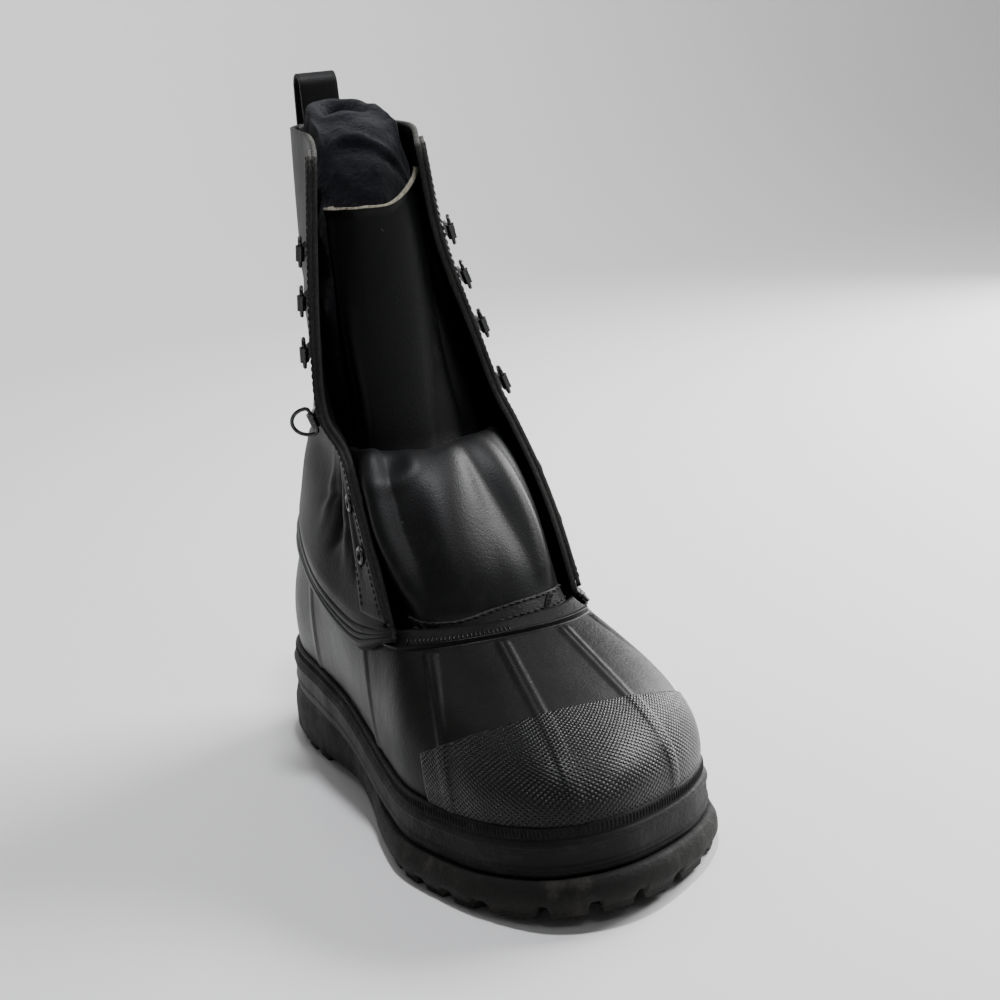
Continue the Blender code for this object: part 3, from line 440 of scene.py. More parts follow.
SOLE_PLACES = np.arange(0, STATIONS, 1 / 20)
sole_rows = []
tread_edge = edge_ring(SOLE_PLACES, TREAD_INSET, lambda y: 0 * y)
tread_edge[:, 2] = tread(tread_edge[:, :2])
foot_inset = BUMPER * station(SOLE_PLACES)[:, 2] + FOXING_WALL + GAP
level_z = spring_only(tread_edge[:, 1]) + 0.4 * OUTSOLE_EDGE
for share, inset, rise in SOLE_FOOT:
    ring = edge_ring(SOLE_PLACES, TREAD_INSET * (1 - inset), lambda y: 0 * y)
    ring[:, 2] = tread_edge[:, 2] * (1 - share) + level_z * share + rise
    sole_rows.append(ring)
for inset, rise in SOLE_SIDE:
    ring = edge_ring(SOLE_PLACES, inset, lambda y: spring_only(y) + (outsole_top(y) - spring_only(y)) * rise)
    sole_rows.append(ring)
for share in (0.35, 0.6):
    sole_rows.append(edge_ring(SOLE_PLACES, share * foot_inset, outsole_top))
wall_rows = np.array([tread_edge] + sole_rows)
outsole = sheet("outsole_moulded", wall_rows, True, sole_rubber.material)

under = bmesh.new()
under.from_mesh(outsole.data)
wall_verts = list(under.verts)
width = len(SOLE_PLACES)
half = width // 2
ACROSS = np.linspace(0, 1, 45)
grid = []
for k in range(half + 1):
    near = tread_edge[k, :2]
    far = tread_edge[(width - k) % width, :2]
    line = near + (far - near) * ACROSS[:, None]
    heights = tread(line)
    row = [wall_verts[k]]
    if k in (0, half):
        grid.append(row * len(ACROSS))
        continue
    row += [under.verts.new((x, y, z)) for (x, y), z in zip(line[1:-1], heights[1:-1])]
    row.append(wall_verts[(width - k) % width])
    grid.append(row)
for a, b in zip(grid, grid[1:]):
    for m in range(len(ACROSS) - 1):
        corners = []
        for vert in (a[m], a[m + 1], b[m + 1], b[m]):
            if vert not in corners:
                corners.append(vert)
        if len(corners) > 2:
            under.faces.new(corners[::-1])
top_ring = wall_verts[-width:]
for k in range(half):
    corners = []
    for index in (k, k + 1, (width - k - 1) % width, (width - k) % width):
        if top_ring[index] not in corners:
            corners.append(top_ring[index])
    under.faces.new(corners[::-1])
bmesh.ops.recalc_face_normals(under, faces=under.faces)
for face in under.faces:
    face.smooth = True
under.to_mesh(outsole.data)
under.free()
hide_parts("outsole")
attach(outsole, "boot")


# Foxing: the thick rubber band that wraps the foot of the bottom and is vulcanised to it. Two fine beads run
# round it and its stepped-in top strip carries a cord knurl.

FOXING_HEIGHT = 0.0215
KNURL_HEIGHT = 0.0060
KNURL_STEP = 0.0012
BEAD_HEIGHT = 0.0007
KNURL_PITCH = 0.0019
KNURL_RIB = (0.0011, 0.0046, 0.0012)
COLUMNS = np.arange(0, STATIONS, 1 / 18)

foxing_rubber = Finish("foxing_rubber", 0.5, Specular_IOR_Level=0.15)
where = foxing_rubber.place()
smear = foxing_rubber.cloud(foxing_rubber.stretched(where, (1, 1, 3)), 38, 6, 0.7).between(0.5, 0.8)
foxing_rubber.color(foxing_rubber.mix(smear * 0.55, (0.0060, 0.0060, 0.0056), (0.040, 0.038, 0.034)))
foxing_rubber.rough(foxing_rubber.cloud(where, 70, 4) * 0.25 + 0.45)
foxing_rubber.relief(foxing_rubber.cloud(where, 420, 5, 0.65) + foxing_rubber.cloud(where, 60, 3) * 1.5, 0.0004)


def foxing_top(y):
    return outsole_top(y) + FOXING_HEIGHT


def rubber_foot(places):
    return BUMPER * station(places)[:, 2] + FOXING_WALL + GAP


def bead(height, place, wide):
    """A rounded bead's share of its full height, across a strip."""
    return np.clip(1 - ((height - place) / wide)**2, 0, 1)**0.5


foxing_rows = []
foot_of_rubber = rubber_foot(COLUMNS)
knurl_low = FOXING_HEIGHT - KNURL_HEIGHT
for height in (*np.linspace(0.0, knurl_low - 0.0006, 30), *np.linspace(knurl_low, FOXING_HEIGHT, 12)):
    stands = GAP + FOXING_WALL - KNURL_STEP * smooth(knurl_low - 0.0006, knurl_low + 0.0003, height)
    stands += BEAD_HEIGHT * (bead(height, knurl_low - 0.0022, 0.0009) + 0.7 * bead(height, 0.0042, 0.0010))
    stands -= 0.0005 * bead(height, 0.0004, 0.0006)
    stands -= 0.0008 * smooth(FOXING_HEIGHT - 0.0009, FOXING_HEIGHT, height)
    foxing_rows.append(edge_ring(COLUMNS, foot_of_rubber - stands, lambda y: outsole_top(y) + height))
foxing_rows.append(edge_ring(COLUMNS, foot_of_rubber - 0.0002, foxing_top))
foxing = sheet("foxing_band", foxing_rows, True, foxing_rubber.material)
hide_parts("foxing")
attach(foxing, "boot")


BEAD_INPUTS = [("Pitch", "Float"), ("Size", "Vector"), ("Wobble", "Float"), ("Finish", "Material")]
BEAD_NODES = [
    # key, kind, settings, defaults
    ("source", "NodeGroupInput", {}, {}),
    ("result", "NodeGroupOutput", {}, {}),
    ("to_curve", "GeometryNodeMeshToCurve", {}, {}),
    ("resample", "GeometryNodeResampleCurve", {"mode": "LENGTH"}, {}),
    ("tangent", "GeometryNodeInputTangent", {}, {}),
    ("out", "GeometryNodeInputNamedAttribute", {"data_type": "FLOAT_VECTOR"}, {"Name": "out"}),
    ("lie", "FunctionNodeAlignRotationToVector", {"axis": "X"}, {}),
    ("face_out", "FunctionNodeAlignRotationToVector", {"axis": "Z", "pivot_axis": "X"}, {}),
    ("wobble", "FunctionNodeRandomValue", {}, {"Seed": 7}),
    ("low", "ShaderNodeMath", {"operation": "SUBTRACT"}, {0: 1.0}),
    ("high", "ShaderNodeMath", {"operation": "ADD"}, {0: 1.0}),
    ("ball", "GeometryNodeMeshUVSphere", {}, {"Segments": 6, "Rings": 5, "Radius": 0.5}),
    ("place", "GeometryNodeInstanceOnPoints", {}, {}),
    ("scale", "ShaderNodeVectorMath", {"operation": "SCALE"}, {}),
    ("realize", "GeometryNodeRealizeInstances", {}, {}),
    ("smooth_faces", "GeometryNodeSetShadeSmooth", {}, {}),
    ("paint", "GeometryNodeSetMaterial", {}, {}),
]
BEAD_LINKS = [
    # from, output, to, input
    ("source", "Geometry", "to_curve", "Mesh"),
    ("to_curve", "Curve", "resample", "Curve"),
    ("source", "Pitch", "resample", "Length"),
    ("resample", "Curve", "place", "Points"),
    ("ball", "Mesh", "place", "Instance"),
    ("tangent", "Tangent", "lie", "Vector"),
    ("lie", "Rotation", "face_out", "Rotation"),
    ("out", "Attribute", "face_out", "Vector"),
    ("face_out", "Rotation", "place", "Rotation"),
    ("source", "Wobble", "low", 1),
    ("source", "Wobble", "high", 1),
    ("low", "Value", "wobble", 2),
    ("high", "Value", "wobble", 3),
    ("source", "Size", "scale", 0),
    ("wobble", 1, "scale", "Scale"),
    ("scale", "Vector", "place", "Scale"),
    ("place", "Instances", "realize", "Geometry"),
    ("realize", "Geometry", "smooth_faces", "Geometry"),
    ("smooth_faces", "Geometry", "paint", "Geometry"),
    ("source", "Finish", "paint", "Material"),
    ("paint", "Geometry", "result", "Geometry"),
]


def scatter_tree(name):
    """Nodes that set rounded beads along every path of a mesh, each lying along its path and facing out."""
    tree = bpy.data.node_groups.new(name, "GeometryNodeTree")
    for socket, kind in [("Geometry", "Geometry")] + BEAD_INPUTS:
        tree.interface.new_socket(socket, in_out="INPUT", socket_type=f"NodeSocket{kind}")
    tree.interface.new_socket("Geometry", in_out="OUTPUT", socket_type="NodeSocketGeometry")
    nodes = {}
    for key, kind, settings, defaults in BEAD_NODES:
        nodes[key] = tree.nodes.new(kind)
        for name_of, value in settings.items():
            setattr(nodes[key], name_of, value)
        for socket, value in defaults.items():
            nodes[key].inputs[socket].default_value = value
    for from_node, output, to_node, socket in BEAD_LINKS:
        tree.links.new(nodes[from_node].outputs[output], nodes[to_node].inputs[socket])
    return tree


BEADS = scatter_tree("beads_along_paths")


def beads(name, paths, pitch, size, finish, wobble=0.0):
    """One mesh of beads along paths, each path a list of points and a list of outward directions."""
    verts = np.concatenate([np.asarray(points) for points, out in paths])
    edges = []
    start = 0
    for points, out in paths:
        edges += [(start + k, start + k + 1) for k in range(len(points) - 1)]
        start += len(points)
    mesh = bpy.data.meshes.new(f"{name}_paths")
    mesh.from_pydata(verts.tolist(), edges, [])
    facing = np.concatenate([np.asarray(out) for points, out in paths]).astype(np.float32)
    mesh.attributes.new("out", "FLOAT_VECTOR", "POINT").data.foreach_set("vector", facing.reshape(-1))
    path = bpy.data.objects.new(f"{name}_paths", mesh)
    bpy.context.scene.collection.objects.link(path)
    modifier = path.modifiers.new("beads", "NODES")
    modifier.node_group = BEADS
    sockets = {item.name: item.identifier for item in BEADS.interface.items_tree if item.in_out == "INPUT"}
    modifier[sockets["Pitch"]] = pitch
    modifier[sockets["Size"]] = size
    modifier[sockets["Wobble"]] = wobble
    modifier[sockets["Finish"]] = finish.material
    depsgraph = bpy.context.evaluated_depsgraph_get()
    made = bpy.data.objects.new(name, bpy.data.meshes.new_from_object(path.evaluated_get(depsgraph)))
    bpy.data.objects.remove(path)
    made.data.name = name
    bpy.context.scene.collection.objects.link(made)
    return made


knurl_places = np.append(COLUMNS, STATIONS)
knurl_path = edge_ring(knurl_places, rubber_foot(knurl_places) - GAP - FOXING_WALL + KNURL_STEP,
                       lambda y: foxing_top(y) - 0.5 * KNURL_HEIGHT)
knurl_out = np.column_stack([sole_edge(knurl_places)[1], 0 * knurl_places])
knurl = beads("foxing_knurl", [(knurl_path, knurl_out)], KNURL_PITCH, KNURL_RIB, foxing_rubber)
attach(knurl, "boot")


# Rubber bottom: a hollow moulded shell of glossy black rubber from the sole to the rim, higher at the heel.
# Flat ribs run down it from the rim, and the raised band at the throat is finely ribbed on its inner part.

INSTEP_HEIGHT = 0.093
SHAFT_WIDTH = 0.100
RUBBER_WALL = 0.0030
RIM_BAND_HEIGHT = 0.0090
RIM_BAND_STEP = 0.0014
SEAM_DEPTH = 0.0180
SWELL = 0.0035
STAND = 0.45
INNER_CORNER = 8
OUTER_CORNER = 17
RIB_PLACES = (9.1, 11.75, 14.35, 16.55, 19.2, 21.6, 23.9, 1.3, 3.9, 6.5)
RIB_WIDTH = 0.0050
RIB_HEIGHT = 0.0008
RIM_RIB = (0.0010, 0.0042, 0.0010)
RIM_RIB_PITCH = 0.00185

boot_rubber = Finish("bottom_rubber_glossy", 0.3, Specular_IOR_Level=0.12)
where = boot_rubber.place()
drawn_out = boot_rubber.stretched(where, (1, 2.4, 1), (0.3, 0.2, 0.6))
scuff = boot_rubber.cloud(drawn_out, 85, 7, 0.75).between(0.62, 0.78)
film = boot_rubber.cloud(where, 14, 4, 0.6).between(0.35, 0.75)
lint = boot_rubber.cloud(where, 330, 2).between(0.79, 0.81)
wear = scuff * 0.4 + film * 0.12 + lint * 0.8
boot_rubber.color(boot_rubber.mix(wear, (0.0035, 0.0035, 0.0033), (0.050, 0.048, 0.043)))
boot_rubber.rough(film * 0.10 + scuff * 0.2 + 0.38)
pebble = boot_rubber.cloud(where, 900, 3, 0.6) * 0.35
boot_rubber.relief(pebble + boot_rubber.cloud(where, 75, 3) * 0.8, 0.00045)


def rubber_points(places, below_rim, shares=None):
    """The rubber's outer face, by distance below the rim, or by share from the foxing's top to the seam."""
    places = np.asarray(places, float)
    row = station(places)
    base = edge_ring(places, rubber_foot(places), foxing_top)
    rim_x = row[:, 4] * SHAFT_WIDTH - CENTRE[0]
    rim_y = row[:, 3] * LENGTH - CENTRE[1]
    rim = np.stack([rim_x, rim_y, row[:, 5] * INSTEP_HEIGHT], 1)
    rise = (rim[:, 2] - base[:, 2])[:, None] * np.array([0, 0, 1])
    run = (rim - base) * np.array([1, 1, 0])
    out = np.column_stack([sole_edge(places)[1], np.zeros(len(places))])
    low = base + out * SWELL + STAND * rise
    high = rim - run * row[:, 6:7] - rise * row[:, 7:8]
    t = np.linspace(0, 1, 60)[:, None, None]
    points = (1 - t)**3 * base + 3 * (1 - t)**2 * t * low + 3 * (1 - t) * t**2 * high + t**3 * rim
    gone = run_up(points)
    made = []
    for k in range(len(places)):
        if shares is None:
            want = gone[-1, k] - np.asarray(below_rim)[:, k]
        else:
            want = np.asarray(shares)[:, k] * (gone[-1, k] - SEAM_DEPTH)
        made.append(np.stack([np.interp(want, gone[:, k], points[:, k, axis]) for axis in range(3)], axis=1))
    return np.stack(made, axis=1)


def apart(places, place):
    """How many stations lie between, the short way round."""
    away = np.abs((places - place) % STATIONS)
    return np.minimum(away, STATIONS - away)


def rubber_face(places, shares, belows):
    """The rubber's outer face at these shares up to the seam and distances below the rim above it."""
    ones = np.ones(len(places))
    lower = rubber_points(places, None, [s * ones for s in shares])
    upper = rubber_points(places, [b * ones for b in belows])
    return np.concatenate([lower, upper])


shares = np.linspace(0.0, 1.0, 46)
belows = np.concatenate([np.linspace(SEAM_DEPTH - 0.0008, RIM_BAND_HEIGHT + 0.0018, 7),
                         np.linspace(RIM_BAND_HEIGHT + 0.0013, RIM_BAND_HEIGHT - 0.0008, 7),
                         np.linspace(RIM_BAND_HEIGHT - 0.0016, 0.0, 7)])
face_rows = rubber_face(COLUMNS, shares, belows)
face_out = normals_of(face_rows, True)
ring_length = np.linalg.norm(np.roll(face_rows, -1, 1) - face_rows, axis=2) / (COLUMNS[1] - COLUMNS[0])
rib = np.zeros(face_rows.shape[:2])
for place in RIB_PLACES:
    off = apart(COLUMNS, place)[None, :] * ring_length
    rib = np.maximum(rib, smooth(0.5 * RIB_WIDTH + 0.0014, 0.5 * RIB_WIDTH - 0.0012, off))
    rib -= 0.35 * smooth(0.0012, 0.0004, off)
from_rim = np.concatenate([SEAM_DEPTH + (1 - shares) * 0.06, belows])[:, None]
rib_fade = smooth(RIM_BAND_HEIGHT + 0.0020, RIM_BAND_HEIGHT + 0.0050, from_rim)
band = RIM_BAND_STEP * smooth(INNER_CORNER, INNER_CORNER + 0.6, COLUMNS) * (
    1 - smooth(OUTER_CORNER - 0.6, OUTER_CORNER, COLUMNS))
band_rise = smooth(RIM_BAND_HEIGHT + 0.0013, RIM_BAND_HEIGHT - 0.0002, from_rim)
bead_line = 0.0004 * bead(from_rim, RIM_BAND_HEIGHT + 0.0002, 0.0008)
raised = RIB_HEIGHT * rib * rib_fade + band[None, :] * band_rise + bead_line
face_rows = face_rows + face_out * raised[..., None]
outer = face_rows
edge = outer[-1]
edge_out = normals_of(outer, True)[-1]
up = np.array([0, 0, 1.0])
rolled = [edge - edge_out * 0.0006 + up * 0.0005, edge - edge_out * (RUBBER_WALL - 0.0008) + up * 0.0005]
inside_from = normals_of(outer, True)
inside = [outer[k] - inside_from[k] * RUBBER_WALL for k in (-1, -8, -14, -20, -32, -45, -60)]
foot = edge_ring(COLUMNS, foot_of_rubber, lambda y: outsole_top(y) + GAP)
inner_foot = edge_ring(COLUMNS, foot_of_rubber + RUBBER_WALL, lambda y: outsole_top(y) + GAP)
bottom_rows = np.array([foot, *outer, *rolled, *inside, inner_foot])
rubber_bottom = sheet("rubber_bottom_moulded", bottom_rows, True, boot_rubber.material)
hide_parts("rubber_bottom")
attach(rubber_bottom, "boot")

band_places = np.linspace(INNER_CORNER + 0.4, INNER_CORNER + 4.2, 70)
half_band = 0.72 * RIM_BAND_HEIGHT * np.ones(len(band_places))
band_line = rubber_points(band_places, [half_band + 0.0005, half_band, half_band - 0.0005])
band_out = normals_of(band_line, False)[1]
band_rib = beads("rim_band_ribs", [(band_line[1] + band_out * (RIM_BAND_STEP - 0.0001), band_out)],
                 RIM_RIB_PITCH, RIM_RIB, boot_rubber)
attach(band_rib, "boot")


# Toe cap: a second thin layer of the same rubber over the toe, moulded with a fine diamond grip that scuffs
# grey on its high points. Its upper edge is an arc across the vamp.

CAP_FIRST = 8.5
CAP_LAST = 16.5
CAP_TOE_SHARE = 0.54
CAP_SIDE_SHARE = 0.32
CAP_WALL = 0.0013
DIAMOND = 0.0021

cap_rubber = Finish("toe_cap_rubber", 0.30, Specular_IOR_Level=0.22)
where = cap_rubber.place()
flat = cap_rubber.place("UV")
u = cap_rubber.part(flat, 0)
v = cap_rubber.part(flat, 1)
turns = 2 * math.pi / DIAMOND
one_way = ((u * 0.8 + v) * turns).wave() * 0.5 + 0.5
other_way = ((u * 0.8 - v) * turns).wave() * 0.5 + 0.5
grip = one_way * other_way
wear = cap_rubber.cloud(where, 60, 6, 0.7).between(0.48, 0.72)
drawn_out = cap_rubber.stretched(where, (1, 1, 6), (0.2, 0.5, 0.1))
scrape = cap_rubber.cloud(drawn_out, 120, 5, 0.7).between(0.66, 0.76)
tips = grip.between(0.35, 0.9)
marks = tips * wear * 0.22 + scrape * 0.5
cap_rubber.color(cap_rubber.mix(marks, (0.0048, 0.0048, 0.0046), (0.050, 0.048, 0.044)))
cap_rubber.rough(wear * 0.10 + scrape * 0.2 + 0.30)
cap_rubber.relief(grip + cap_rubber.cloud(where, 60, 3) * 0.3, 0.00042)

cap_places = np.linspace(CAP_FIRST, CAP_LAST, 200)
middle = 0.5 * (CAP_FIRST + CAP_LAST)
off_middle = np.clip(np.abs(cap_places - middle) / (0.5 * (CAP_LAST - CAP_FIRST)), 0, 1)
cap_edge = CAP_SIDE_SHARE + (CAP_TOE_SHARE - CAP_SIDE_SHARE) * (1 - off_middle**2)
cap_rows = rubber_points(cap_places, None, [s * cap_edge for s in np.linspace(0, 1, 60)])
cap_out = normals_of(cap_rows, False)
side = smooth(0, 0.10, cap_places - CAP_FIRST) * smooth(0, 0.10, CAP_LAST - cap_places)
thick = np.sqrt(smooth(-0.001, 0.035, 1 - np.linspace(0, 1, 60)))[:, None] * np.sqrt(side)[None, :]
cap_length = np.linalg.norm(np.gradient(cap_rows, axis=1), axis=2) / np.gradient(cap_places)[None, :]
cap_rib = np.zeros(cap_rows.shape[:2])
for place in RIB_PLACES:
    off = np.abs(cap_places - place)[None, :] * cap_length
    cap_rib = np.maximum(cap_rib, smooth(0.5 * RIB_WIDTH + 0.0012, 0.5 * RIB_WIDTH - 0.0006, off))
lift_off = GAP + CAP_WALL * thick + 0.55 * RIB_HEIGHT * cap_rib
cap_rows = cap_rows + cap_out * lift_off[..., None]
cap_rows[0, :, 2] += GAP
toe_cap = sheet("toe_cap_textured", cap_rows, False, cap_rubber.material)
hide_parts("toe_cap")
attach(toe_cap, "boot")


# Insole: a grey needled felt sheet lying loose on the floor of the bottom, its solid kept as packed.

insole_felt = Finish("insole_felt_grey", 0.96, Specular_IOR_Level=0.2)
where = insole_felt.place()
nap = insole_felt.cloud(where, 260, 6, 0.75)
insole_felt.color(insole_felt.mix(nap.between(0.3, 0.7), (0.030, 0.029, 0.028), (0.085, 0.082, 0.078)))
insole_felt.relief(nap, 0.0006)
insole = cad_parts["insole"]
insole.data.materials.clear()
insole.data.materials.append(insole_felt.material)


# Shaft: one hollow piece of thick black leather with a smooth, oiled face, raw at the collar and the facings'
# edges. It is lapped over the rubber's rim and sewn there. The creases at the ankle are placed one by one.

COLLAR_HEIGHT = 0.300
LEATHER = 0.0024
LEATHER_GAP = 0.00065
COLLAR_TILT = 0.030
CORNER_BACK = (0.75, 0.68)
CORNER_SEAM = 0.40
SHAFT_KNOTS = [17, 21, 23, 25, 27, 29, 33]
SHAFT_HEIGHTS = (0.137, 0.19, 0.24, 0.30, 0.36, 0.42, 0.49, 0.60, 0.73, 0.87, 1.0)
SHAFT = [
    # height, inner_x, inner_y, inner_side_x, side_y, back_x, back_y,
    # outer_side_x, outer_side_y, outer_x, outer_y
    (0.137, -0.430, -0.050, -0.440, 0.206, -0.01, 0.438, 0.455, 0.206, 0.390, -0.050),
    (0.240, -0.425, -0.003, -0.365, 0.219, -0.01, 0.432, 0.420, 0.212, 0.380, 0.000),
    (0.350, -0.420, 0.053, -0.338, 0.231, -0.02, 0.431, 0.390, 0.225, 0.345, 0.053),
    (0.420, -0.465, 0.087, -0.335, 0.238, -0.02, 0.434, 0.370, 0.231, 0.315, 0.087),
    (0.555, -0.465, 0.094, -0.330, 0.244, -0.03, 0.444, 0.325, 0.244, 0.255, 0.106),
    (0.780, -0.430, 0.094, -0.302, 0.250, -0.04, 0.453, 0.255, 0.262, 0.145, 0.125),
    (1.000, -0.385, 0.094, -0.275, 0.256, -0.05, 0.459, 0.210, 0.275, 0.100, 0.131),
]

leather = Finish("oiled_black_leather", 0.33, Specular_IOR_Level=0.19)
where = leather.place()
grain = leather.cells(where, 900)
fine = leather.cloud(where, 520, 5, 0.65)
worn = leather.cloud(leather.stretched(where, (1, 1, 0.55), (0.2, 0.1, 0.4)), 34, 7, 0.72).between(0.55, 0.78)
nick = leather.cloud(leather.stretched(where, (1, 1.5, 4), (0.5, 0.3, 0.2)), 210, 6, 0.75).between(0.70, 0.78)
leather.color(leather.mix(worn * 0.35 + nick * 0.55, (0.0050, 0.0051, 0.0054), (0.045, 0.043, 0.040)))
leather.rough(worn * 0.14 + nick * 0.2 + leather.cloud(where, 18, 4) * 0.12 + 0.43)
leather.relief(grain * 0.25 + fine * 0.5 + leather.cloud(where, 40, 3) * 1.2 - nick * 0.6, 0.00028)

cut_leather = Finish("cut_leather_edge", 0.85, Specular_IOR_Level=0.3)
where = cut_leather.place()
fray = cut_leather.cloud(where, 700, 6, 0.75)
collar_edge = cut_leather.part(where, 2).between(0.284, 0.293)
cut_leather.color(cut_leather.mix(fray.between(0.35, 0.72) * (collar_edge * 0.5 + 0.07),
                                  (0.006, 0.0058, 0.0055), (0.25, 0.24, 0.22)))
cut_leather.relief(fray, 0.0007)


def collar_height(places):
    from_back = np.abs(places - STATIONS) / (STATIONS - OUTER_CORNER)
    return COLLAR_HEIGHT * (1 - COLLAR_TILT * from_back**2)


def seam_depth(places):
    from_back = np.abs(places - STATIONS) / (STATIONS - OUTER_CORNER)
    return SEAM_DEPTH * (1 - (1 - CORNER_SEAM) * smooth(0.8, 1.0, from_back))


def shaft_ring(places, row, rim_heights):
    height, ix, iy, isx, isy, bx, by, osx, osy, ox, oy = row
    across, back = CORNER_BACK
    outline = [
        (ox, oy), (osx, osy), (bx + across * (osx - bx), osy + back * (by - osy)), (bx, by),
        (bx + across * (isx - bx), isy + back * (by - isy)), (isx, isy), (ix, iy),
    ]
    flat = curve(SHAFT_KNOTS, outline, places) * (SHAFT_WIDTH, LENGTH) - CENTRE
    return np.column_stack([flat, rim_heights + height * (collar_height(places) - rim_heights)])


def shaft_rows(places, heights, seam_shares=(1.0, 0.5, 0.0)):
    """The shaft's inner face: rows down in the seam, then one for each height from the rim to the collar."""
    depth = seam_depth(places)
    seam = rubber_points(places % STATIONS, [share * depth for share in seam_shares])
    out = normals_of(seam, False)
    seam = seam + out * LEATHER_GAP
    tables = np.array([seam[-1]] + [shaft_ring(places, row, seam[-1][:, 2]) for row in SHAFT])
    knots = [0.0] + [row[0] for row in SHAFT]
    return np.concatenate([seam, curve(knots, tables, heights)])


def trough(along, across, place, wide, long):
    """A soft crease: 1 along its line, fading at its ends and to both sides."""
    return np.exp(-(across / wide)**2) * np.exp(-((along - place) / long)**2)


def pierce(obj, holes):
    """Takes out the faces of a sheet that lie within a hole, each hole a centre and a radius."""
    bm = bmesh.new()
    bm.from_mesh(obj.data)
    gone = [face for face in bm.faces
            if any((face.calc_center_median() - centre).length < radius for centre, radius in holes)]
    bmesh.ops.delete(bm, geom=gone, context="FACES")
    bm.to_mesh(obj.data)
    bm.free()


def wall(name, rows, thickness, finish, edge):
    """A sheet with a wall of this thickness built outwards from its rows, its rim in the edge finish."""
    made = sheet(name, rows, False, finish.material)
    made.data.materials.append(edge.material)
    solid = made.modifiers.new("wall", "SOLIDIFY")
    solid.thickness = thickness
    solid.offset = 1
    solid.use_even_offset = False
    solid.use_quality_normals = True
    solid.material_offset_rim = 1
    return made


SEAM_SHARES = np.linspace(1.0, 0.0, 19)
SHAFT_STITCH_ROWS = (0.10, 0.29, 0.48, 0.67)
CREASES = [
    # around, height, slope, wide, long, depth
    (0.40, 0.26, 0.35, 0.018, 0.20, 0.0016),
    (0.46, 0.33, 0.10, 0.020, 0.22, -0.0010),
    (0.42, 0.39, -0.12, 0.016, 0.18, 0.0012),
    (0.66, 0.185, 0.50, 0.014, 0.10, 0.0010),
    (-0.42, 0.27, -0.30, 0.018, 0.20, 0.0014),
    (-0.48, 0.35, -0.10, 0.020, 0.20, -0.0009),
    (-0.44, 0.42, 0.15, 0.016, 0.18, 0.0011),
    (0.02, 0.30, 0.05, 0.020, 0.24, 0.0013),
    (-0.05, 0.37, -0.06, 0.018, 0.22, 0.0009),
    (0.72, 0.115, 0.80, 0.012, 0.08, 0.0008),
    (0.30, 0.60, 0.10, 0.030, 0.25, 0.0006),
    (-0.30, 0.66, -0.08, 0.035, 0.25, 0.0006),
    (0.60, 0.50, 0.25, 0.025, 0.15, 0.0007),
]
shaft_places = np.linspace(OUTER_CORNER, 33, 321)
shaft_heights = np.linspace(0.012, 1.0, 110)
shaft_smooth = shaft_rows(shaft_places, shaft_heights, SEAM_SHARES)
shaft_out = normals_of(shaft_smooth, False)
seam_count = len(SEAM_SHARES)
share_up = np.concatenate([-0.1 * SEAM_SHARES, shaft_heights])[:, None]
round_share = ((shaft_places - STATIONS) / (STATIONS - OUTER_CORNER))[None, :]
folds = np.zeros(shaft_smooth.shape[:2])
for around, height, slope, wide, long, depth in CREASES:
    line = share_up - height - slope * (round_share - around)
    folds -= depth * trough(round_share, line, around, wide, long)
    folds += 0.35 * depth * trough(round_share, np.abs(line) - 2.1 * wide, around, wide, long)
UPRIGHT_FOLDS = [
    # around, height, lean, wide, long, depth
    (0.905, 0.18, 0.08, 0.020, 0.12, -0.0016),
    (0.845, 0.18, 0.12, 0.022, 0.13, 0.0048),
    (0.785, 0.20, 0.20, 0.020, 0.13, -0.0020),
    (0.71, 0.17, 0.30, 0.024, 0.11, 0.0030),
    (0.62, 0.16, 0.35, 0.022, 0.09, -0.0012),
    (-0.84, 0.16, -0.12, 0.026, 0.12, 0.0018),
    (-0.74, 0.18, -0.20, 0.024, 0.11, 0.0010),
]
for around, height, lean, wide, long, depth in UPRIGHT_FOLDS:
    folds -= depth * trough(share_up, round_share - around - lean * (share_up - height), height, wide, long)


def soft_noise(rows, scale, step):
    """Slow noise over a sheet, worked out on every so many of its rows and columns."""
    rough = np.array([[noise.noise(Vector(p * scale)) for p in row[::step]] for row in rows[::step]])
    down, along = [np.arange(count) / step for count in rows.shape[:2]]
    rough = np.array([np.interp(along, np.arange(rough.shape[1]), r) for r in rough])
    return np.array([np.interp(down, np.arange(rough.shape[0]), c) for c in rough.T]).T


folds += 0.0011 * soft_noise(shaft_smooth, np.array([17.0, 17.0, 11.0]), 6)
folds *= smooth(0.0, 0.10, 1 - np.abs(round_share)) * smooth(0.03, 0.14, share_up)
seam_share = np.concatenate([SEAM_SHARES, np.zeros(len(shaft_heights))])[:, None]
for place in SHAFT_STITCH_ROWS:
    folds += 0.0007 * np.exp(-((seam_share - 1 + place - 0.095) / 0.05)**2)
    folds -= 0.0008 * np.exp(-((seam_share - 1 + place) / 0.04)**2)
shaft_face = shaft_smooth + shaft_out * folds[..., None]
leather_face = shaft_face + shaft_out * LEATHER
shaft = wall("leather_shaft", shaft_face, LEATHER, leather, cut_leather)
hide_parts("shaft")
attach(shaft, "boot")


# Eyestays: a second layer of the same leather along each facing, with its cut edge flush with the shaft's,
# sewn down on either side of the eyelets and rings.

EYESTAY_WALL = 0.0016
EYESTAY_GAP = 0.00055
FITTING_GAP = 0.00145
EYELETS = (0.137, 0.240)
RINGS = (0.420, 0.555, 0.670, 0.780)
EYELET_EDGE = 0.0095
EYELET_HOLE = 0.0021
EYELET_CUT = 0.0040
RING_EDGE = 0.0075
SEAT = 0.0001

coarse = shaft_rows(np.arange(OUTER_CORNER, 33.01, 0.5), SHAFT_HEIGHTS)


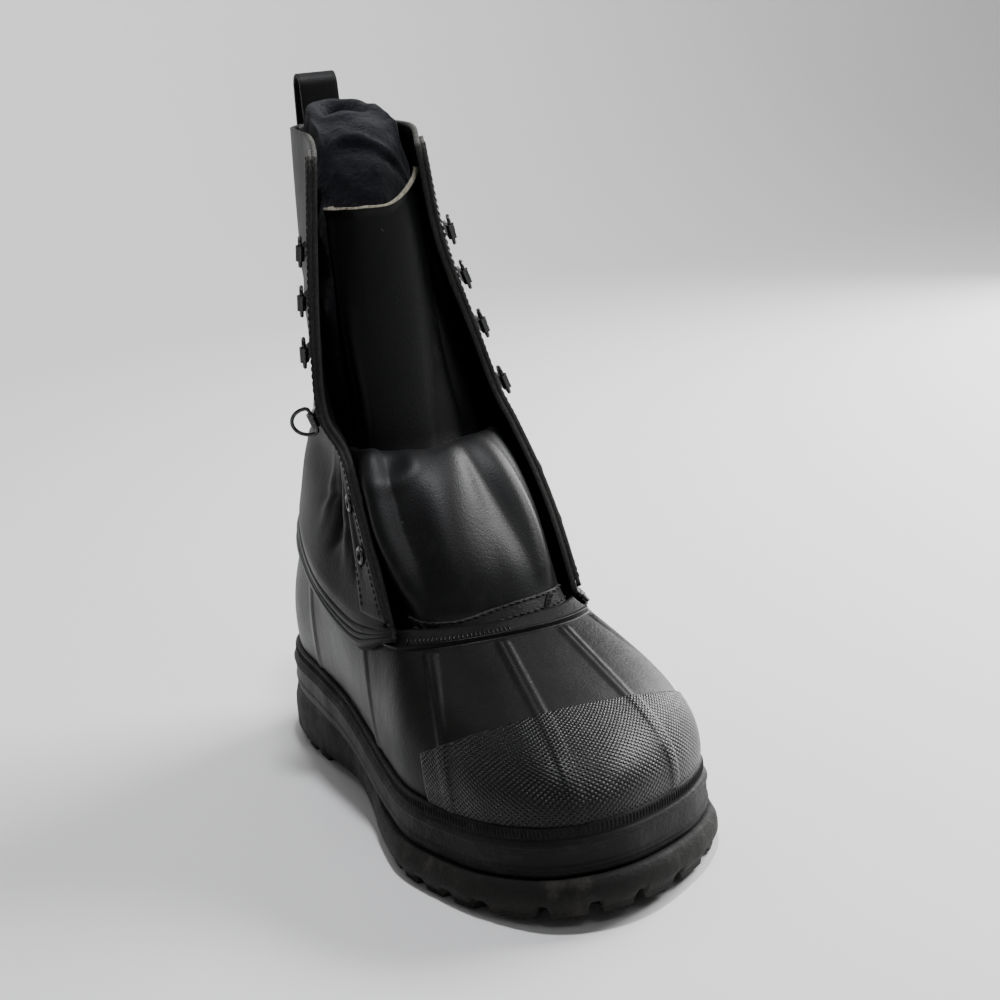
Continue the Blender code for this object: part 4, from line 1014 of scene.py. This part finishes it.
def facing_frame(side, height, from_edge):
    """A place on a facing: its point, the outward normal, the way back from the edge, and the way up."""
    heights = (0.0,) + SHAFT_HEIGHTS
    columns = coarse[2:]
    edge = -1 if side == "inner" else 0
    inside = -3 if side == "inner" else 2

    def along(column, h):
        return np.array([np.interp(h, heights, columns[:, column, k]) for k in range(3)])

    point = along(edge, height)
    back = along(inside, height) - point
    up = along(edge, height + 0.03) - along(edge, height - 0.03)
    back /= np.linalg.norm(back)
    up /= np.linalg.norm(up)
    normal = np.cross(up, back) if side == "inner" else np.cross(back, up)
    normal /= np.linalg.norm(normal)
    return point + back * from_edge, normal, back, np.cross(normal, back)


def frame_matrix(point, across, up, normal):
    return Matrix((
        (across[0], up[0], normal[0], point[0]),
        (across[1], up[1], normal[1], point[1]),
        (across[2], up[2], normal[2], point[2]),
        (0, 0, 0, 1),
    ))


eyelet_holes = []
for side in ("inner", "outer"):
    for height in EYELETS:
        point, normal, back, up = facing_frame(side, height, EYELET_EDGE)
        eyelet_holes.append((Vector(point), EYELET_CUT))
pierce(shaft, eyelet_holes)
eyestay_paths = []
for side in ("inner", "outer"):
    columns = slice(-21, None) if side == "inner" else slice(0, 21)
    stay_out = shaft_out[seam_count:, columns]
    stay_rows = leather_face[seam_count:, columns] + stay_out * SEAT
    eyestay = wall(f"eyestay_layer_{side}", stay_rows, EYESTAY_WALL + EYESTAY_GAP - SEAT, leather, cut_leather)
    stay_holes = []
    for (centre, radius), height in zip(eyelet_holes[:2] if side == "inner" else eyelet_holes[2:], EYELETS):
        normal = Vector(facing_frame(side, height, EYELET_EDGE)[1])
        stay_holes.append((centre + normal * (LEATHER + EYESTAY_GAP), radius))
    pierce(eyestay, stay_holes)
    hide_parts(f"eyestay_{side}")
    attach(eyestay, "boot")
    for column in ((3.6, 18.2) if side == "outer" else (16.4, 1.8)):
        low = int(column)
        rows = stay_rows[2:-2, low] + (stay_rows[2:-2, low + 1] - stay_rows[2:-2, low]) * (column - low)
        eyestay_paths.append((rows + stay_out[2:-2, low] * (EYESTAY_WALL + EYESTAY_GAP), stay_out[2:-2, low]))


# Tongue: a wide gusseted leather tongue sewn under the rubber's rim, folded at the ankle, with a pale raw top
# edge and a thicker strip sewn across its base.

TONGUE_WALL = 0.0022
TONGUE_TUCK = (0.016, 0.007, 0.0005)
TONGUE_TIP_RISE = 0.014
STRIP_WALL = 0.0011
STRIP_HEIGHT = 0.0130
TONGUE = [
    # x, along, height, panel, panel_back, valley_back, inner_edge, outer_edge, edge_back
    (-0.04, -0.135, 0.323, 0.20, 0.009, 0.019, -0.350, 0.320, 0.044),
    (-0.06, -0.116, 0.377, 0.20, 0.014, 0.034, -0.380, 0.340, 0.075),
    (-0.09, -0.081, 0.433, 0.20, 0.019, 0.040, -0.380, 0.350, 0.090),
    (-0.11, -0.038, 0.490, 0.18, 0.019, 0.041, -0.370, 0.345, 0.100),
    (-0.12, 0.000, 0.523, 0.17, 0.019, 0.041, -0.360, 0.335, 0.106),
    (-0.12, 0.028, 0.523, 0.16, 0.019, 0.040, -0.345, 0.325, 0.090),
    (-0.11, 0.052, 0.500, 0.15, 0.016, 0.034, -0.335, 0.315, 0.082),
    (-0.11, 0.069, 0.530, 0.14, 0.016, 0.038, -0.320, 0.305, 0.074),
    (-0.105, 0.084, 0.600, 0.15, 0.020, 0.040, -0.305, 0.270, 0.070),
    (-0.10, 0.103, 0.700, 0.18, 0.026, 0.042, -0.305, 0.205, 0.062),
    (-0.09, 0.119, 0.800, 0.19, 0.034, 0.048, -0.285, 0.130, 0.056),
    (-0.08, 0.134, 0.886, 0.19, 0.040, 0.050, -0.265, 0.115, 0.054),
]

tongue_leather = Finish("tongue_leather_smooth", 0.3, Specular_IOR_Level=0.21)
where = tongue_leather.place()
pores = tongue_leather.cells(where, 1100)
drawn_out = tongue_leather.stretched(where, (1, 1, 0.5), (0.2, 0.3, 0.1))
rub = tongue_leather.cloud(drawn_out, 30, 6, 0.7).between(0.55, 0.8)
drawn_out = tongue_leather.stretched(where, (3, 1, 0.6), (0.4, 0.2, 0.7))
scratch = tongue_leather.cloud(drawn_out, 130, 6, 0.8).between(0.72, 0.8)
lint = tongue_leather.cloud(where, 330, 2).between(0.78, 0.80)
wear = rub * 0.25 + scratch * 0.5 + lint * 1.5
tongue_leather.color(tongue_leather.mix(wear, (0.0042, 0.0044, 0.0048), (0.045, 0.044, 0.042)))
tongue_leather.rough(rub * 0.10 + tongue_leather.cloud(where, 20, 4) * 0.12 + scratch * 0.2 + 0.40)
tongue_leather.relief(pores * 0.2 + tongue_leather.cloud(where, 600, 4, 0.6) * 0.35, 0.00022)
raw_top = Finish("tongue_raw_edge", 0.9, Specular_IOR_Level=0.2)
fibre = raw_top.cloud(raw_top.place(), 800, 6, 0.75)
raw_top.color(raw_top.mix(fibre.between(0.3, 0.7), (0.15, 0.135, 0.10), (0.48, 0.45, 0.36)))
raw_top.relief(fibre, 0.0008)


def tongue_ring(row, across):
    """One line across the tongue, from its inner to its outer edge."""
    x, along, height, panel, panel_back, valley_back, inner_edge, outer_edge, edge_back = row
    places = [0.18, 0.36, 0.62, 1.0]
    points = [(x, 0.0)]
    knots = [0.0]
    for sign, edge in ((1, outer_edge), (-1, inner_edge)):
        half = [(x + sign * 0.55 * panel, 0.25 * panel_back), (x + sign * panel, panel_back),
                (0.45 * (x + sign * panel) + 0.55 * edge, valley_back), (edge, edge_back)]
        points = points + half if sign > 0 else half[::-1] + points
        knots = knots + places if sign > 0 else [-k for k in places[::-1]] + knots
    flat = curve(knots, points, across)
    return np.column_stack([flat[:, 0] * SHAFT_WIDTH - CENTRE[0], (along + flat[:, 1]) * LENGTH - CENTRE[1],
                            np.full(len(across), height * COLLAR_HEIGHT)])


across = np.linspace(-1, 1, 141)
steps = np.array([*np.linspace(0, 4, 62)[:-1], *np.linspace(4, 7, 60)[:-1],
                  *np.linspace(7, 10.93, 62), 10.965, 11])
ring_places = INNER_CORNER + 0.6 + (OUTER_CORNER - INNER_CORNER - 1.2) * (across + 1) / 2
ones = np.ones(len(across))
tucked = rubber_points(ring_places, [d * ones for d in (1.5 * TONGUE_TUCK[0], *TONGUE_TUCK, 0.0)])
tucked = tucked - normals_of(tucked, False) * (RUBBER_WALL + TONGUE_WALL + 2 * GAP)
above = curve(range(len(TONGUE)), [tongue_ring(row, across) for row in TONGUE], steps)
tongue_rows = np.concatenate([tucked[1:-1], above])
tip = smooth(0.0, 0.46, across) * (1 - smooth(0.50, 0.66, across))
tongue_rows[3:, :, 2] += TONGUE_TIP_RISE * (tip[None, :] * smooth(9.4, 11.0, steps)[:, None])
step_of = np.concatenate([[-0.6, -0.4, -0.2], steps])[:, None]
tongue_out = normals_of(tongue_rows, False)
TONGUE_FOLDS = [
    # across, step, lean, wide, long, depth
    (-0.52, 9.6, 0.10, 0.05, 1.9, -0.0011),
    (-0.40, 8.2, 0.07, 0.04, 1.2, -0.0009),
    (0.30, 9.4, 0.00, 0.16, 2.2, -0.0010),
    (0.55, 8.4, -0.05, 0.06, 1.4, 0.0014),
    (-0.10, 2.2, 0.04, 0.14, 1.3, -0.0012),
    (0.16, 1.2, 0.05, 0.12, 1.0, 0.0009),
    (-0.30, 1.4, 0.08, 0.10, 1.1, 0.0006),
    (0.56, 2.3, -0.02, 0.12, 1.9, -0.0040),
    (0.46, 2.0, -0.03, 0.07, 1.3, 0.0006),
    (0.67, 2.6, -0.04, 0.06, 1.5, 0.0014),
    (0.72, 2.2, -0.02, 0.13, 1.9, -0.0035),
    (-0.68, 2.2, 0.02, 0.15, 2.0, -0.0052),
    (-0.58, 2.3, 0.02, 0.12, 1.8, -0.0030),
    (-0.68, 2.6, 0.03, 0.04, 1.4, 0.0016),
    (0.14, 3.1, 0.10, 0.18, 1.5, -0.0014),
    (-0.16, 1.3, 0.12, 0.18, 1.3, -0.0012),
]
sag = 0.0012 * soft_noise(tongue_rows, np.array([20.0, 20.0, 16.0]), 5)
for place, step, lean, wide, long, depth in TONGUE_FOLDS:
    sag -= depth * trough(step_of, across[None, :] - place - lean * (step_of - step), step, wide, long)
knob = np.linalg.norm(tongue_rows - np.array([-0.032, 0.002, 0.158]), axis=2)
sag += 0.0010 * np.exp(-((knob - 0.0110) / 0.0045)**2) - 0.0011 * np.exp(-(knob / 0.0060)**2)
sag *= smooth(-0.1, 0.7, step_of) * smooth(0.0, 0.05, 1 - np.abs(across))[None, :]
tongue_rows = tongue_rows + tongue_out * sag[..., None]
flare = smooth(10.80, 11.0, step_of) * smooth(0.0, 0.3, 1 - np.abs(across))[None, :]
ragged = 1 + 0.3 * soft_noise(tongue_rows, np.array([300.0] * 3), 1)
tongue_rows = tongue_rows + tongue_out * (0.0011 * flare * ragged)[..., None]
tongue = wall("gusseted_tongue", tongue_rows, TONGUE_WALL, tongue_leather, raw_top)
top_faces = tongue.data.polygons[-(len(across) - 1):]
for face in top_faces:
    if across[0] <= (face.center.x - tongue_rows[-1, 70, 0]) * 30 <= 0.62:
        face.material_index = 1
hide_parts("tongue")
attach(tongue, "boot")

gone = run_up(tongue_rows[2:40])
wanted = np.linspace(0.0006, STRIP_HEIGHT, 16)
tongue_face = tongue_rows[2:40] + tongue_out[2:40] * (TONGUE_WALL + 0.0002)


def up_the_tongue(distances, columns):
    """Points and outward directions on the tongue's base, at these distances above the rim."""
    found = []
    for table in (tongue_face, tongue_out[2:40]):
        lines = [[np.interp(distances, gone[:, c], table[:, c, k]) for k in range(3)] for c in columns]
        found.append(np.array(lines).transpose(2, 0, 1))
    return found


strip_columns = range(6, len(across) - 6)
strip_rows = up_the_tongue(wanted, strip_columns)[0]
strip = wall("throat_strip", strip_rows, STRIP_WALL, leather, cut_leather)
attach(strip, "boot")


# Liner: a thick navy wool felt boot that lifts out. Its soft top rolls inwards over the collar into a lumpy
# dome, with a fold across its front and a small opening at the back.

FELT = 0.0060
ROUGH_GAP = 0.0015
INSOLE_WALL = 0.0040
TOE = 12.5
LINER_KNOTS = [0, 2, 4, 8, TOE, 17, 21, 23]
LINER = [
    # front_height, back_height, x_inner, x_outer, side_y, front_x, front_y, back_x, back_y
    (0.352, 0.427, -0.440, 0.415, 0.190, -0.02, -0.100, 0.00, 0.425),
    (0.420, 0.500, -0.385, 0.390, 0.200, -0.03, -0.040, 0.00, 0.415),
    (0.468, 0.560, -0.340, 0.370, 0.212, -0.03, 0.028, 0.00, 0.412),
    (0.507, 0.613, -0.318, 0.350, 0.222, -0.03, 0.084, -0.01, 0.412),
    (0.593, 0.687, -0.308, 0.320, 0.234, -0.04, 0.140, -0.02, 0.419),
    (0.707, 0.773, -0.300, 0.275, 0.244, -0.05, 0.162, -0.03, 0.428),
    (0.817, 0.873, -0.275, 0.220, 0.250, -0.05, 0.178, -0.04, 0.434),
    (0.900, 0.940, -0.260, 0.185, 0.256, -0.05, 0.194, -0.05, 0.420),
    (0.985, 1.010, -0.238, 0.155, 0.269, -0.05, 0.231, -0.05, 0.415),
    (1.008, 1.028, -0.220, 0.130, 0.310, -0.05, 0.272, -0.05, 0.405),
]
LINER_LIP = [
    # share of the way to the opening's middle, rise
    (0.10, 0.0016), (0.24, 0.0022), (0.38, 0.0012), (0.47, -0.0015), (0.52, -0.0055), (0.50, -0.012),
]
LINER_INSIDE = (-14, -30, -48, -64, -80, -96, -112, -124)

felt = Finish("navy_wool_felt", 0.97, Specular_IOR_Level=0.15, Sheen_Weight=0.12, Sheen_Roughness=0.5)
where = felt.place()
nap = felt.cloud(where, 380, 8, 0.8)
pills = felt.cloud(where, 110, 5, 0.7).between(0.45, 0.75)
fuzz = nap.between(0.32, 0.7) * 0.7 + pills * 0.3
felt.color(felt.mix(fuzz, (0.0017, 0.0021, 0.0042), (0.011, 0.012, 0.020)))
felt.relief(nap * 1.4 + pills * 0.8, 0.0011)


def liner_ring(row, places):
    low, high, xi, xo, side_y, front_x, front_y, back_x, back_y = row
    across, back = CORNER_BACK
    outline = [
        (back_x, back_y, high),
        (back_x + across * (xi - back_x), side_y + back * (back_y - side_y), high),
        (xi, side_y, 0.5 * (low + high)),
        (front_x + 0.80 * (xi - front_x), front_y + 0.36 * (side_y - front_y), low),
        (front_x, front_y, low),
        (front_x + 0.80 * (xo - front_x), front_y + 0.36 * (side_y - front_y), low),
        (xo, side_y, 0.5 * (low + high)),
        (back_x + across * (xo - back_x), side_y + back * (back_y - side_y), high),
    ]
    return curve(LINER_KNOTS, outline, places, STATIONS) * (SHAFT_WIDTH, LENGTH, COLLAR_HEIGHT) - (*CENTRE, 0)


liner_places = np.arange(0, STATIONS, STATIONS / 190)
floor_rise = 3 * GAP + INSOLE_WALL
clear = RUBBER_WALL + ROUGH_GAP
foot_inset = rubber_foot(liner_places) + clear
ones = np.ones(len(liner_places))
low_rows = rubber_points(liner_places, None, [s * ones for s in (0.0, 0.3, 0.6, 1.0)])
free = np.concatenate([low_rows, rubber_points(liner_places, [0 * ones])])
inward = -normals_of(free, True)
front = smooth(5, 8, liner_places) * (1 - smooth(17, 20, liner_places))
knot_rows = [
    edge_ring(liner_places, foot_inset + FELT / 3, lambda y: outsole_top(y) + floor_rise),
    edge_ring(liner_places, foot_inset, lambda y: outsole_top(y) + floor_rise + FELT),
]
for row in (1, 2, 3, 4):
    below_tongue = TONGUE_WALL + 2 * ROUGH_GAP if row > 2 else 0.0
    knot_rows.append(free[row] + inward[row] * (clear + ROUGH_GAP / 3 + below_tongue * front)[:, None])
knot_rows += [liner_ring(row, liner_places) for row in LINER]
liner_steps = np.concatenate([np.linspace(0, 10, 50)[:-1], np.linspace(10, 15, 80)])
outer_felt = curve(range(len(knot_rows)), knot_rows, liner_steps)
top_ring = outer_felt[-1]
eye = np.array([-0.0085, 0.1085, top_ring[:, 2].mean()])
lip = []
for share, rise in LINER_LIP:
    ring = top_ring + (eye - top_ring) * share
    ring[:, 2] = top_ring[:, 2] + rise
    lip.append(ring)
face_out = normals_of(outer_felt, True)
inner_felt = [outer_felt[k] - face_out[k] * FELT for k in LINER_INSIDE]
liner_rows = np.array([*outer_felt, *lip, *inner_felt])
felt_out = normals_of(liner_rows, True)
row_steps = np.concatenate([liner_steps, np.full(len(lip), 15.0), np.zeros(len(inner_felt))])
up_share = smooth(9.5, 12.5, row_steps)[:, None]
lumps = 0.0022 * soft_noise(liner_rows, np.array([46.0, 46.0, 52.0]), 2)
lumps += 0.0009 * soft_noise(liner_rows, np.array([130.0] * 3), 1)
front_side = smooth(6.5, 9.5, liner_places) * (1 - smooth(15.5, 18.5, liner_places))
arch = 0.296 - 0.012 * ((liner_places - 11.0) / 5.0)**2
above_arch = liner_rows[:, :, 2] - arch[None, :]
fold = np.exp(-(above_arch / 0.0020)**2) - 0.9 * np.exp(-((above_arch + 0.0052) / 0.0030)**2)
lumps += 0.0017 * fold * front_side[None, :]
liner_rows = liner_rows + felt_out * (lumps * up_share)[..., None]
first = liner_rows[:1]
last = liner_rows[-1:]
hub = first.mean(axis=1, keepdims=True)
inner_hub = last.mean(axis=1, keepdims=True)
liner_rows = np.concatenate([hub + (first - hub) * 0.02, hub + (first - hub) * 0.5, liner_rows,
                             inner_hub + (last - inner_hub) * 0.5, inner_hub + (last - inner_hub) * 0.02])
liner = sheet("felt_liner", liner_rows, True, felt.material)
bm = bmesh.new()
bm.from_mesh(liner.data)
bmesh.ops.holes_fill(bm, edges=[e for e in bm.edges if e.is_boundary], sides=0)
for face in bm.faces:
    face.smooth = True
bm.to_mesh(liner.data)
bm.free()
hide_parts("liner")
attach(liner, "boot")


# Pull loop: a strap of the same leather doubled over the back of the collar, one end sewn outside and one
# inside.

LOOP_WIDTH = 0.019
LOOP_HEIGHT = 0.024
LOOP_BELOW = 0.016
LOOP_DEPTH = 0.013
LOOP_WALL = 0.0020

collar_line = shaft_rows(np.linspace(STATIONS - 2, STATIONS + 2, 41), (1.0,))[-1]
x, y, z = collar_line[20]
outer_y = y + LEATHER + GAP + LOOP_WALL
inner_y = collar_line[np.abs(collar_line[:, 0] - x) < 0.6 * LOOP_WIDTH, 1].min() - GAP - LOOP_WALL
middle = 0.5 * (outer_y + inner_y)
straight = z + LOOP_HEIGHT - 0.5 * LOOP_DEPTH
turn = np.linspace(0, math.pi, 25)
round_top = np.column_stack([middle + 0.5 * LOOP_DEPTH * np.cos(turn),
                             straight + 0.5 * LOOP_DEPTH * np.sin(turn)])
leg = np.linspace(z - LOOP_BELOW, z, 12)
outside_leg = np.column_stack([np.linspace(outer_y + 0.4 * LOOP_WALL, outer_y, 12), leg])
inside_leg = np.column_stack([np.linspace(inner_y, inner_y - 0.4 * LOOP_WALL, 12), leg[::-1]])
path = np.concatenate([outside_leg, round_top, inside_leg])
loop_rows = []
for share in np.linspace(0.5, -0.5, 9):
    loop_rows.append(np.column_stack([np.full(len(path), x + share * LOOP_WIDTH), path]))
pull_loop = wall("pull_strap", np.array(loop_rows), LOOP_WALL, leather, cut_leather)
edge_round = pull_loop.modifiers.new("edges", "BEVEL")
edge_round.width = 0.0004
edge_round.segments = 2
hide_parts("pull_loop")
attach(pull_loop, "boot")


# Eyelets, clips and rings: black-enamelled steel, worn bright along its edges. Two eyelets are clinched
# through each facing, and four rings swing in clips riveted above them.

EYELET_FLANGE = 0.0042
EYELET_TUBE = 0.0006
RING_WIRE = 0.0009
RING_HEIGHT = 0.0125
RING_REACH = 0.0105
CLIP_WALL = 0.0010
CLIP_LENGTH = 0.0085
CLIP_WIDTH = 0.0068
BARREL_WALL = 0.0009
RING_PLAY = 0.0002
BORE_PLAY = 0.00035
OPEN_RING_ANGLE = math.radians(70)

enamel = Finish("black_enamel", 0.3, Specular_IOR_Level=0.55)
where = enamel.place()
chip = enamel.cloud(where, 600, 5, 0.7).between(0.60, 0.72)
enamel.color(enamel.mix(chip, (0.0095, 0.0095, 0.0100), (0.16, 0.155, 0.145)))
enamel.rough(chip * 0.2 + 0.26)
enamel.feed(enamel.shader.inputs["Metallic"], chip * 0.8)
enamel.relief(enamel.cloud(where, 900, 4), 0.0001)
bottom = LEATHER + EYESTAY_WALL + FITTING_GAP
axis_height = bottom + RING_WIRE + RING_PLAY + BARREL_WALL + 0.3 * CLIP_WALL
seat = LEATHER + EYESTAY_WALL + EYESTAY_GAP + SEAT


def fitting(name, rows, matrix):
    """A sheet in a fitting's own frame, moved to its place."""
    made = sheet(name, rows, True, enamel.material)
    made.data.transform(matrix)
    return made


def closed_pipe(path, normal_up, radius, sides):
    """Rings of a wire that runs round a closed flat path."""
    ahead = np.roll(path, -1, 0) - np.roll(path, 1, 0)
    ahead /= np.linalg.norm(ahead, axis=1)[:, None]
    side_way = np.cross(ahead, normal_up)
    turns = np.linspace(0, 2 * math.pi, sides, endpoint=False)
    rise = np.asarray(normal_up)
    return np.array([path + radius * (np.cos(a) * side_way + math.sin(a) * rise) for a in turns])


def joined(name, pieces):
    """One mesh out of several."""
    bm = bmesh.new()
    for piece in pieces:
        bm.from_mesh(piece.data)
        bpy.data.objects.remove(piece)
    mesh = bpy.data.meshes.new(name)
    bm.to_mesh(mesh)
    bm.free()
    made = bpy.data.objects.new(name, mesh)
    made.data.materials.append(enamel.material)
    bpy.context.scene.collection.objects.link(made)
    return made


def turned(name, profile, matrix, sides=36):
    """A turned shape from (radius, height) pairs, run round once."""
    turns = np.linspace(0, 2 * math.pi, sides, endpoint=False)
    rows = [np.column_stack([r * np.cos(turns), r * np.sin(turns), np.full(sides, h)]) for r, h in profile]
    return fitting(name, rows, matrix)


def clip_mesh(name, matrix):
    """A strap end closed round the ring's bar; its rivet is made apart and joined on later."""
    bore = RING_WIRE + BORE_PLAY
    reach = RING_WIRE + RING_PLAY + BARREL_WALL
    sides = 24
    turns = np.linspace(0, 2 * math.pi, sides, endpoint=False) + math.pi / sides
    bm = bmesh.new()
    layers = []
    for y in (-0.5 * CLIP_WIDTH, 0.5 * CLIP_WIDTH):
        inner = [bm.verts.new((bore * math.cos(a), y, axis_height + bore * math.sin(a))) for a in turns]
        outer = []
        for a in turns:
            spot = Vector((reach * math.cos(a), y, max(axis_height + reach * math.sin(a), seat)))
            outer.append(bm.verts.new(spot))
        plate = [bm.verts.new((CLIP_LENGTH, y, seat)), bm.verts.new((CLIP_LENGTH, y, seat + 1.3 * CLIP_WALL))]
        layers.append((inner, outer, plate))
    low_corner = int(np.argmin(np.abs(turns - math.radians(285))))
    high_corner = low_corner + 4
    for inner, outer, plate in layers:
        for k in range(sides):
            bm.faces.new((inner[k], inner[(k + 1) % sides], outer[(k + 1) % sides], outer[k]))
        bm.faces.new([outer[k % sides] for k in range(low_corner, high_corner + 1)] + plate[::-1])
    runs = []
    for inner, outer, plate in layers:
        rest = [outer[k % sides] for k in range(high_corner, low_corner + sides + 1)]
        runs.append((inner, rest + plate))
    for first_run, second_run in zip(*runs):
        count = len(first_run)
        for k in range(count):
            bm.faces.new((first_run[k], first_run[(k + 1) % count], second_run[(k + 1) % count], second_run[k]))
    bmesh.ops.recalc_face_normals(bm, faces=bm.faces)
    corners = [e for e in bm.edges if e.calc_length() > 0.0007 and e.calc_face_angle(0) > 0.7]
    bmesh.ops.bevel(bm, geom=corners, offset=0.00018, segments=2, affect="EDGES", profile=0.5)
    bm.transform(matrix)
    mesh = bpy.data.meshes.new(name)
    bm.to_mesh(mesh)
    bm.free()
    mesh.shade_smooth()
    mesh.set_sharp_from_angle(angle=math.radians(50))
    made = bpy.data.objects.new(name, mesh)
    bpy.context.scene.collection.objects.link(made)
    return made


ring_path = [(0.0, y) for y in np.linspace(-0.36, 0.36, 14) * RING_HEIGHT]
corner = 0.14 * RING_HEIGHT
half = 0.5 * RING_HEIGHT
for a in np.linspace(math.pi, 0.5 * math.pi, 7)[1:]:
    ring_path.append((corner + corner * math.cos(a), half - corner + corner * math.sin(a)))
for a in np.linspace(0.5 * math.pi, -0.5 * math.pi, 33)[1:-1]:
    ring_path.append((0.25 * RING_REACH + 0.75 * RING_REACH * math.cos(a), half * math.sin(a)))
for a in np.linspace(-0.5 * math.pi, -math.pi, 7)[:-1]:
    ring_path.append((corner + corner * math.cos(a), corner - half + corner * math.sin(a)))
ring_path = np.array([(a, b, 0.0) for a, b in ring_path])
hole = EYELET_HOLE
tube = EYELET_HOLE + EYELET_TUBE
flange = EYELET_FLANGE
top = bottom + 0.4 * EYELET_TUBE
eyelet_profile = [
    (hole, -GAP), (hole, top - 0.0007), (hole + 0.0002, top - 0.0002), (hole + 0.0007, top + 0.00015),
    (0.5 * (hole + flange), top + 0.00025), (flange - 0.0006, top + 0.0001), (flange - 0.0001, top - 0.0003),
    (flange, seat + 0.0003), (flange - 0.0004, seat), (tube, seat), (tube, -GAP), (hole, -GAP),
]
rivet_profile = [(0.0022, 0.0), (0.0021, 0.0004), (0.0016, 0.0008), (0.0008, 0.00105), (0.00002, 0.0011)]
for side in ("inner", "outer"):
    for number, height in enumerate(EYELETS, 1):
        point, normal, back, up = facing_frame(side, height, EYELET_EDGE)
        matrix = frame_matrix(point, np.cross(up, normal), up, normal)
        eyelet = turned(f"clinched_eyelet_{side}_{number}", eyelet_profile, matrix)
        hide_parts(f"eyelet_{side}_{number}")
        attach(eyelet, "boot")
    for number, height in enumerate(RINGS, 1):
        point, normal, back, up = facing_frame(side, height, RING_EDGE)
        matrix = frame_matrix(point, back, up, normal)
        rivet_at = matrix @ Matrix.Translation((0.62 * CLIP_LENGTH, 0, seat + 1.5 * CLIP_WALL))
        clip = joined(f"ring_clip_{side}_{number}", [
            clip_mesh("clip_body", matrix), turned("clip_rivet", rivet_profile, rivet_at, 20)])
        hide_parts(f"clip_{side}_{number}")
        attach(clip, "boot")
        axis = point + normal * axis_height
        opened = OPEN_RING_ANGLE if (side, number) == ("inner", 1) else 0.0
        matrix = frame_matrix(axis, back, up, normal) @ Matrix.Rotation(-opened, 4, "Y")
        ring_rows = closed_pipe(ring_path, (0, 0, 1.0), RING_WIRE, 12)
        ring = fitting(f"lacing_ring_{side}_{number}", ring_rows, matrix)
        bm = bmesh.new()
        bm.from_mesh(ring.data)
        loop = [bm.verts[:len(ring_path)], bm.verts[-len(ring_path):]]
        for k in range(len(ring_path)):
            j = (k + 1) % len(ring_path)
            bm.faces.new((loop[1][k], loop[1][j], loop[0][j], loop[0][k])).smooth = True
        bmesh.ops.recalc_face_normals(bm, faces=bm.faces)
        bm.to_mesh(ring.data)
        bm.free()
        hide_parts(f"ring_{side}_{number}")
        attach(ring, f"{side}_ring_{number}")


# Stitching: waxed black thread, in four rows round the shaft's lower margin, two across the throat strip, one
# along each edge of the eyestays, and short bar tacks at the corners and across the strip.

thread = Finish("waxed_thread", 0.55, Specular_IOR_Level=0.2)
twist = thread.cloud(thread.place(), 1500, 4)
thread.color(thread.mix(twist.between(0.4, 0.7), (0.0030, 0.0030, 0.0031), (0.018, 0.0175, 0.0165)))
thread.relief(twist, 0.0003)
THREAD = (0.0025, 0.00085, 0.00075)
STITCH_PITCH = 0.0032
STRIP_THREAD = (0.0028, 0.0010, 0.0009)
STRIP_PITCH = 0.0034
STRIP_STITCH_ROWS = (0.0056, 0.0116)
TACK_THREAD = (0.0007, 0.0022, 0.0011)
TACK_PITCH = 0.00062
CORNER_TACK_ROWS = (5, 8)
STRIP_TACKS = [
    # first and last column, first and last distance
    (101, 110, 0.0040, 0.0108),
    (103, 112, 0.0038, 0.0106),
    (14, 16, 0.0040, 0.0110),
]

margin_paths = []
for place in SHAFT_STITCH_ROWS:
    at = place * (seam_count - 1)
    low = int(at)
    row = leather_face[low] + (leather_face[low + 1] - leather_face[low]) * (at - low)
    margin_paths.append((row[3:-3], shaft_out[low][3:-3]))
margin = beads("shaft_stitches", margin_paths, STITCH_PITCH, THREAD, thread, 0.08)
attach(margin, "boot")
eyestay_thread = beads("eyestay_stitches", eyestay_paths, STITCH_PITCH, THREAD, thread, 0.08)
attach(eyestay_thread, "boot")
strip_paths = []
rows, outs = up_the_tongue(np.array(STRIP_STITCH_ROWS), strip_columns)
for k in range(2):
    strip_paths.append((rows[k] + outs[k] * (STRIP_WALL + 0.0001), outs[k]))


def on_strip(column, distance):
    """A point on the strip's face and the direction out of it."""
    point, out = up_the_tongue(np.array([distance]), [int(column)])
    return point[0, 0] + out[0, 0] * (STRIP_WALL + 0.0002), out[0, 0]


tack_paths = []
for first, last, low, high in STRIP_TACKS:
    line = [on_strip(c, d) for c, d in zip(np.linspace(first, last, 9), np.linspace(low, high, 9))]
    tack_paths.append((np.array([point for point, _ in line]), np.array([out for _, out in line])))
for columns in (slice(-4, -11, -1), slice(3, 10)):
    for row in CORNER_TACK_ROWS:
        tack_paths.append((leather_face[row, columns], shaft_out[row, columns]))
tacks = beads("bar_tacks", tack_paths, TACK_PITCH, TACK_THREAD, thread, 0.12)
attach(tacks, "boot")
strip_thread = beads("throat_stitches", strip_paths, STRIP_PITCH, STRIP_THREAD, thread, 0.1)
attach(strip_thread, "boot")
